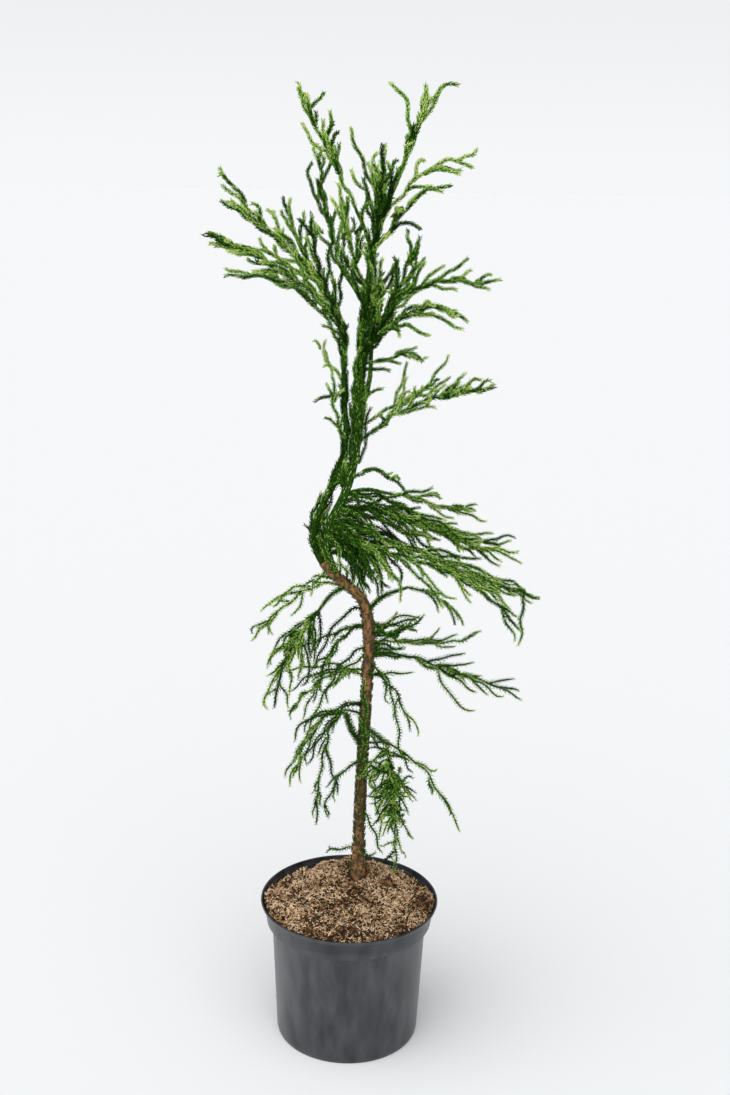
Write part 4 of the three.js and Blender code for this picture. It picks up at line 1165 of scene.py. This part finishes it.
def mottled_material(name, dark, light, roughness, size, stretch, bump):
    """Two colours mixed by a noise whose grains are `size` millimetres long."""
    material = plain_material(name, COLOURS[light], roughness, SPECULAR)
    tree = material.node_tree
    shader = tree.nodes["Principled BSDF"]
    place = tree.nodes.new("ShaderNodeTexCoord")
    mapping = tree.nodes.new("ShaderNodeMapping")
    mapping.inputs["Scale"].default_value = [s / (size * MM) for s in stretch]
    grain = tree.nodes.new("ShaderNodeTexNoise")
    grain.inputs["Scale"].default_value = 1
    grain.inputs["Detail"].default_value = MOTTLE["detail"]
    ramp = tree.nodes.new("ShaderNodeValToRGB")
    for element, position, colour in zip(ramp.color_ramp.elements, MOTTLE["ramp"], (dark, light)):
        element.position = position
        element.color = (*COLOURS[colour], 1)
    tree.links.new(place.outputs["Object"], mapping.inputs["Vector"])
    tree.links.new(mapping.outputs["Vector"], grain.inputs["Vector"])
    tree.links.new(grain.outputs["Fac"], ramp.inputs["Fac"])
    tree.links.new(ramp.outputs["Color"], shader.inputs["Base Color"])
    if bump:
        relief = tree.nodes.new("ShaderNodeBump")
        relief.inputs["Strength"].default_value = MOTTLE["strength"]
        relief.inputs["Distance"].default_value = bump * MM
        tree.links.new(grain.outputs["Fac"], relief.inputs["Height"])
        tree.links.new(relief.outputs["Normal"], shader.inputs["Normal"])
    return material


def make_materials():
    materials = {name: plain_material(name, COLOURS[name], *finish) for name, finish in PLAIN.items()}
    materials.update({name: mottled_material(name, *finish) for name, finish in MOTTLED.items()})
    return materials


# ------------------------------------------------------------------ the whole


def add_camera():
    """The photograph's viewpoint."""
    data = bpy.data.cameras.new("camera")
    data.sensor_width = SENSOR
    data.lens = FOCAL_PIXELS * SENSOR / PHOTO_HEIGHT
    camera = bpy.data.objects.new("camera", data)
    turn = Matrix.Rotation(math.radians(90 - CAMERA["down"]), 4, "X")
    roll = Matrix.Rotation(math.radians(CAMERA["roll"]), 4, "Z")
    camera.matrix_world = Matrix.Translation(Vector(CAMERA["place"]) * MM) @ turn @ roll
    bpy.context.scene.collection.objects.link(camera)
    bpy.context.scene.camera = camera


def add_surroundings(floor_material):
    """A pale sky that darkens upwards, a wide sun and a pale floor."""
    world = bpy.data.worlds.new("studio")
    world.use_nodes = True
    tree = world.node_tree
    place = tree.nodes.new("ShaderNodeTexCoord")
    axes = tree.nodes.new("ShaderNodeSeparateXYZ")
    sky = tree.nodes.new("ShaderNodeValToRGB")
    elements = sky.color_ramp.elements
    (elements[0].position, low), (middle, backdrop), (elements[1].position, high) = SKY
    elements[0].color = (*low, 1)
    elements[1].color = (*high, 1)
    elements.new(middle).color = (*backdrop, 1)
    tree.links.new(place.outputs["Generated"], axes.inputs["Vector"])
    tree.links.new(axes.outputs["Z"], sky.inputs["Fac"])
    tree.links.new(sky.outputs["Color"], tree.nodes["Background"].inputs["Color"])
    bpy.context.scene.world = world
    data = bpy.data.lights.new("key", "SUN")
    data.energy = SUN["energy"]
    data.angle = math.radians(SUN["angle"])
    key = bpy.data.objects.new("key", data)
    key.rotation_euler = Vector(SUN["from"]).to_track_quat("Z", "Y").to_euler()
    bpy.context.scene.collection.objects.link(key)
    corners = np.array([[-1, -1, 0], [1, -1, 0], [1, 1, 0], [-1, 1, 0]]) * FLOOR_REACH
    floor = make_mesh("floor", corners, [[0, 1, 2], [0, 2, 3]], smooth=False)
    floor.data.materials.append(floor_material)
    bpy.context.scene.view_settings.view_transform = "Standard"


def build_pot(materials):
    wall = make_mesh("pot_wall", *lathe(pot_profile(), POT_SIDES))
    finish_piece(wall, materials["pot"], "pot", ["pot"])
    compost = make_mesh("compost", *make_compost())
    finish_piece(compost, materials["compost"], "compost", ["soil"])
    draw = np.random.default_rng(SEEDS["chips"])
    for name, (share, *sizes) in CHIP_KINDS.items():
        chips = make_mesh(name, *make_chips(draw, int(CHIPS * share), *sizes), smooth=False)
        finish_piece(chips, materials[name], "compost")


def build_plant(materials):
    paths = limb_paths()
    sprays = grow_sprays(paths)
    add_twigs(sprays, paths)
    draw = np.random.default_rng(SEEDS["needles"])
    shade_draw = np.random.default_rng(SEEDS["shade"])
    groups = {**sprays, "sprigs": make_sprigs(paths, sprays), "bunches": make_bunches(paths, sprays, draw)}
    groups.update({name: hugging_shoots(name, paths[name], draw) for name in HUGS})
    needles = {shade: [] for shade in SHADES}
    cores = []
    for name, shoots in groups.items():
        for shoot in shoots:
            clothe_shoot(shoot, SPRAY_LEVELS.get(name, 0), draw, shade_draw, cores, needles)
    for name, path in paths.items():
        clothe_limb(name, path, draw, cores, needles)
    pieces = needle_pieces(needles, materials)
    for i, shade in enumerate(SHADES):
        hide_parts(*(f"spray_{name}" for name in list(sprays)[i::len(SHADES)]))
    # the cores' dark colour is painted shade between the needles
    stems = make_mesh("green_stems", *join(cores))
    bark_limbs = ("trunk", *BARK_BOUGHS)
    finish_piece(stems, materials["stem"], "green_stem", [n for n in LIMBS if n not in bark_limbs])
    for limb in bark_limbs:
        material = materials["bark" if limb == "trunk" else "bough_bark"]
        finish_piece(bark_piece(limb, paths[limb]), material, "bark", [limb])
    scales = make_mesh("trunk_scales", *trunk_scales(paths["trunk"], draw))
    finish_piece(scales, materials["scales"], "bark")


materials = make_materials()
add_camera()
add_surroundings(materials["floor"])
build_pot(materials)
build_plant(materials)
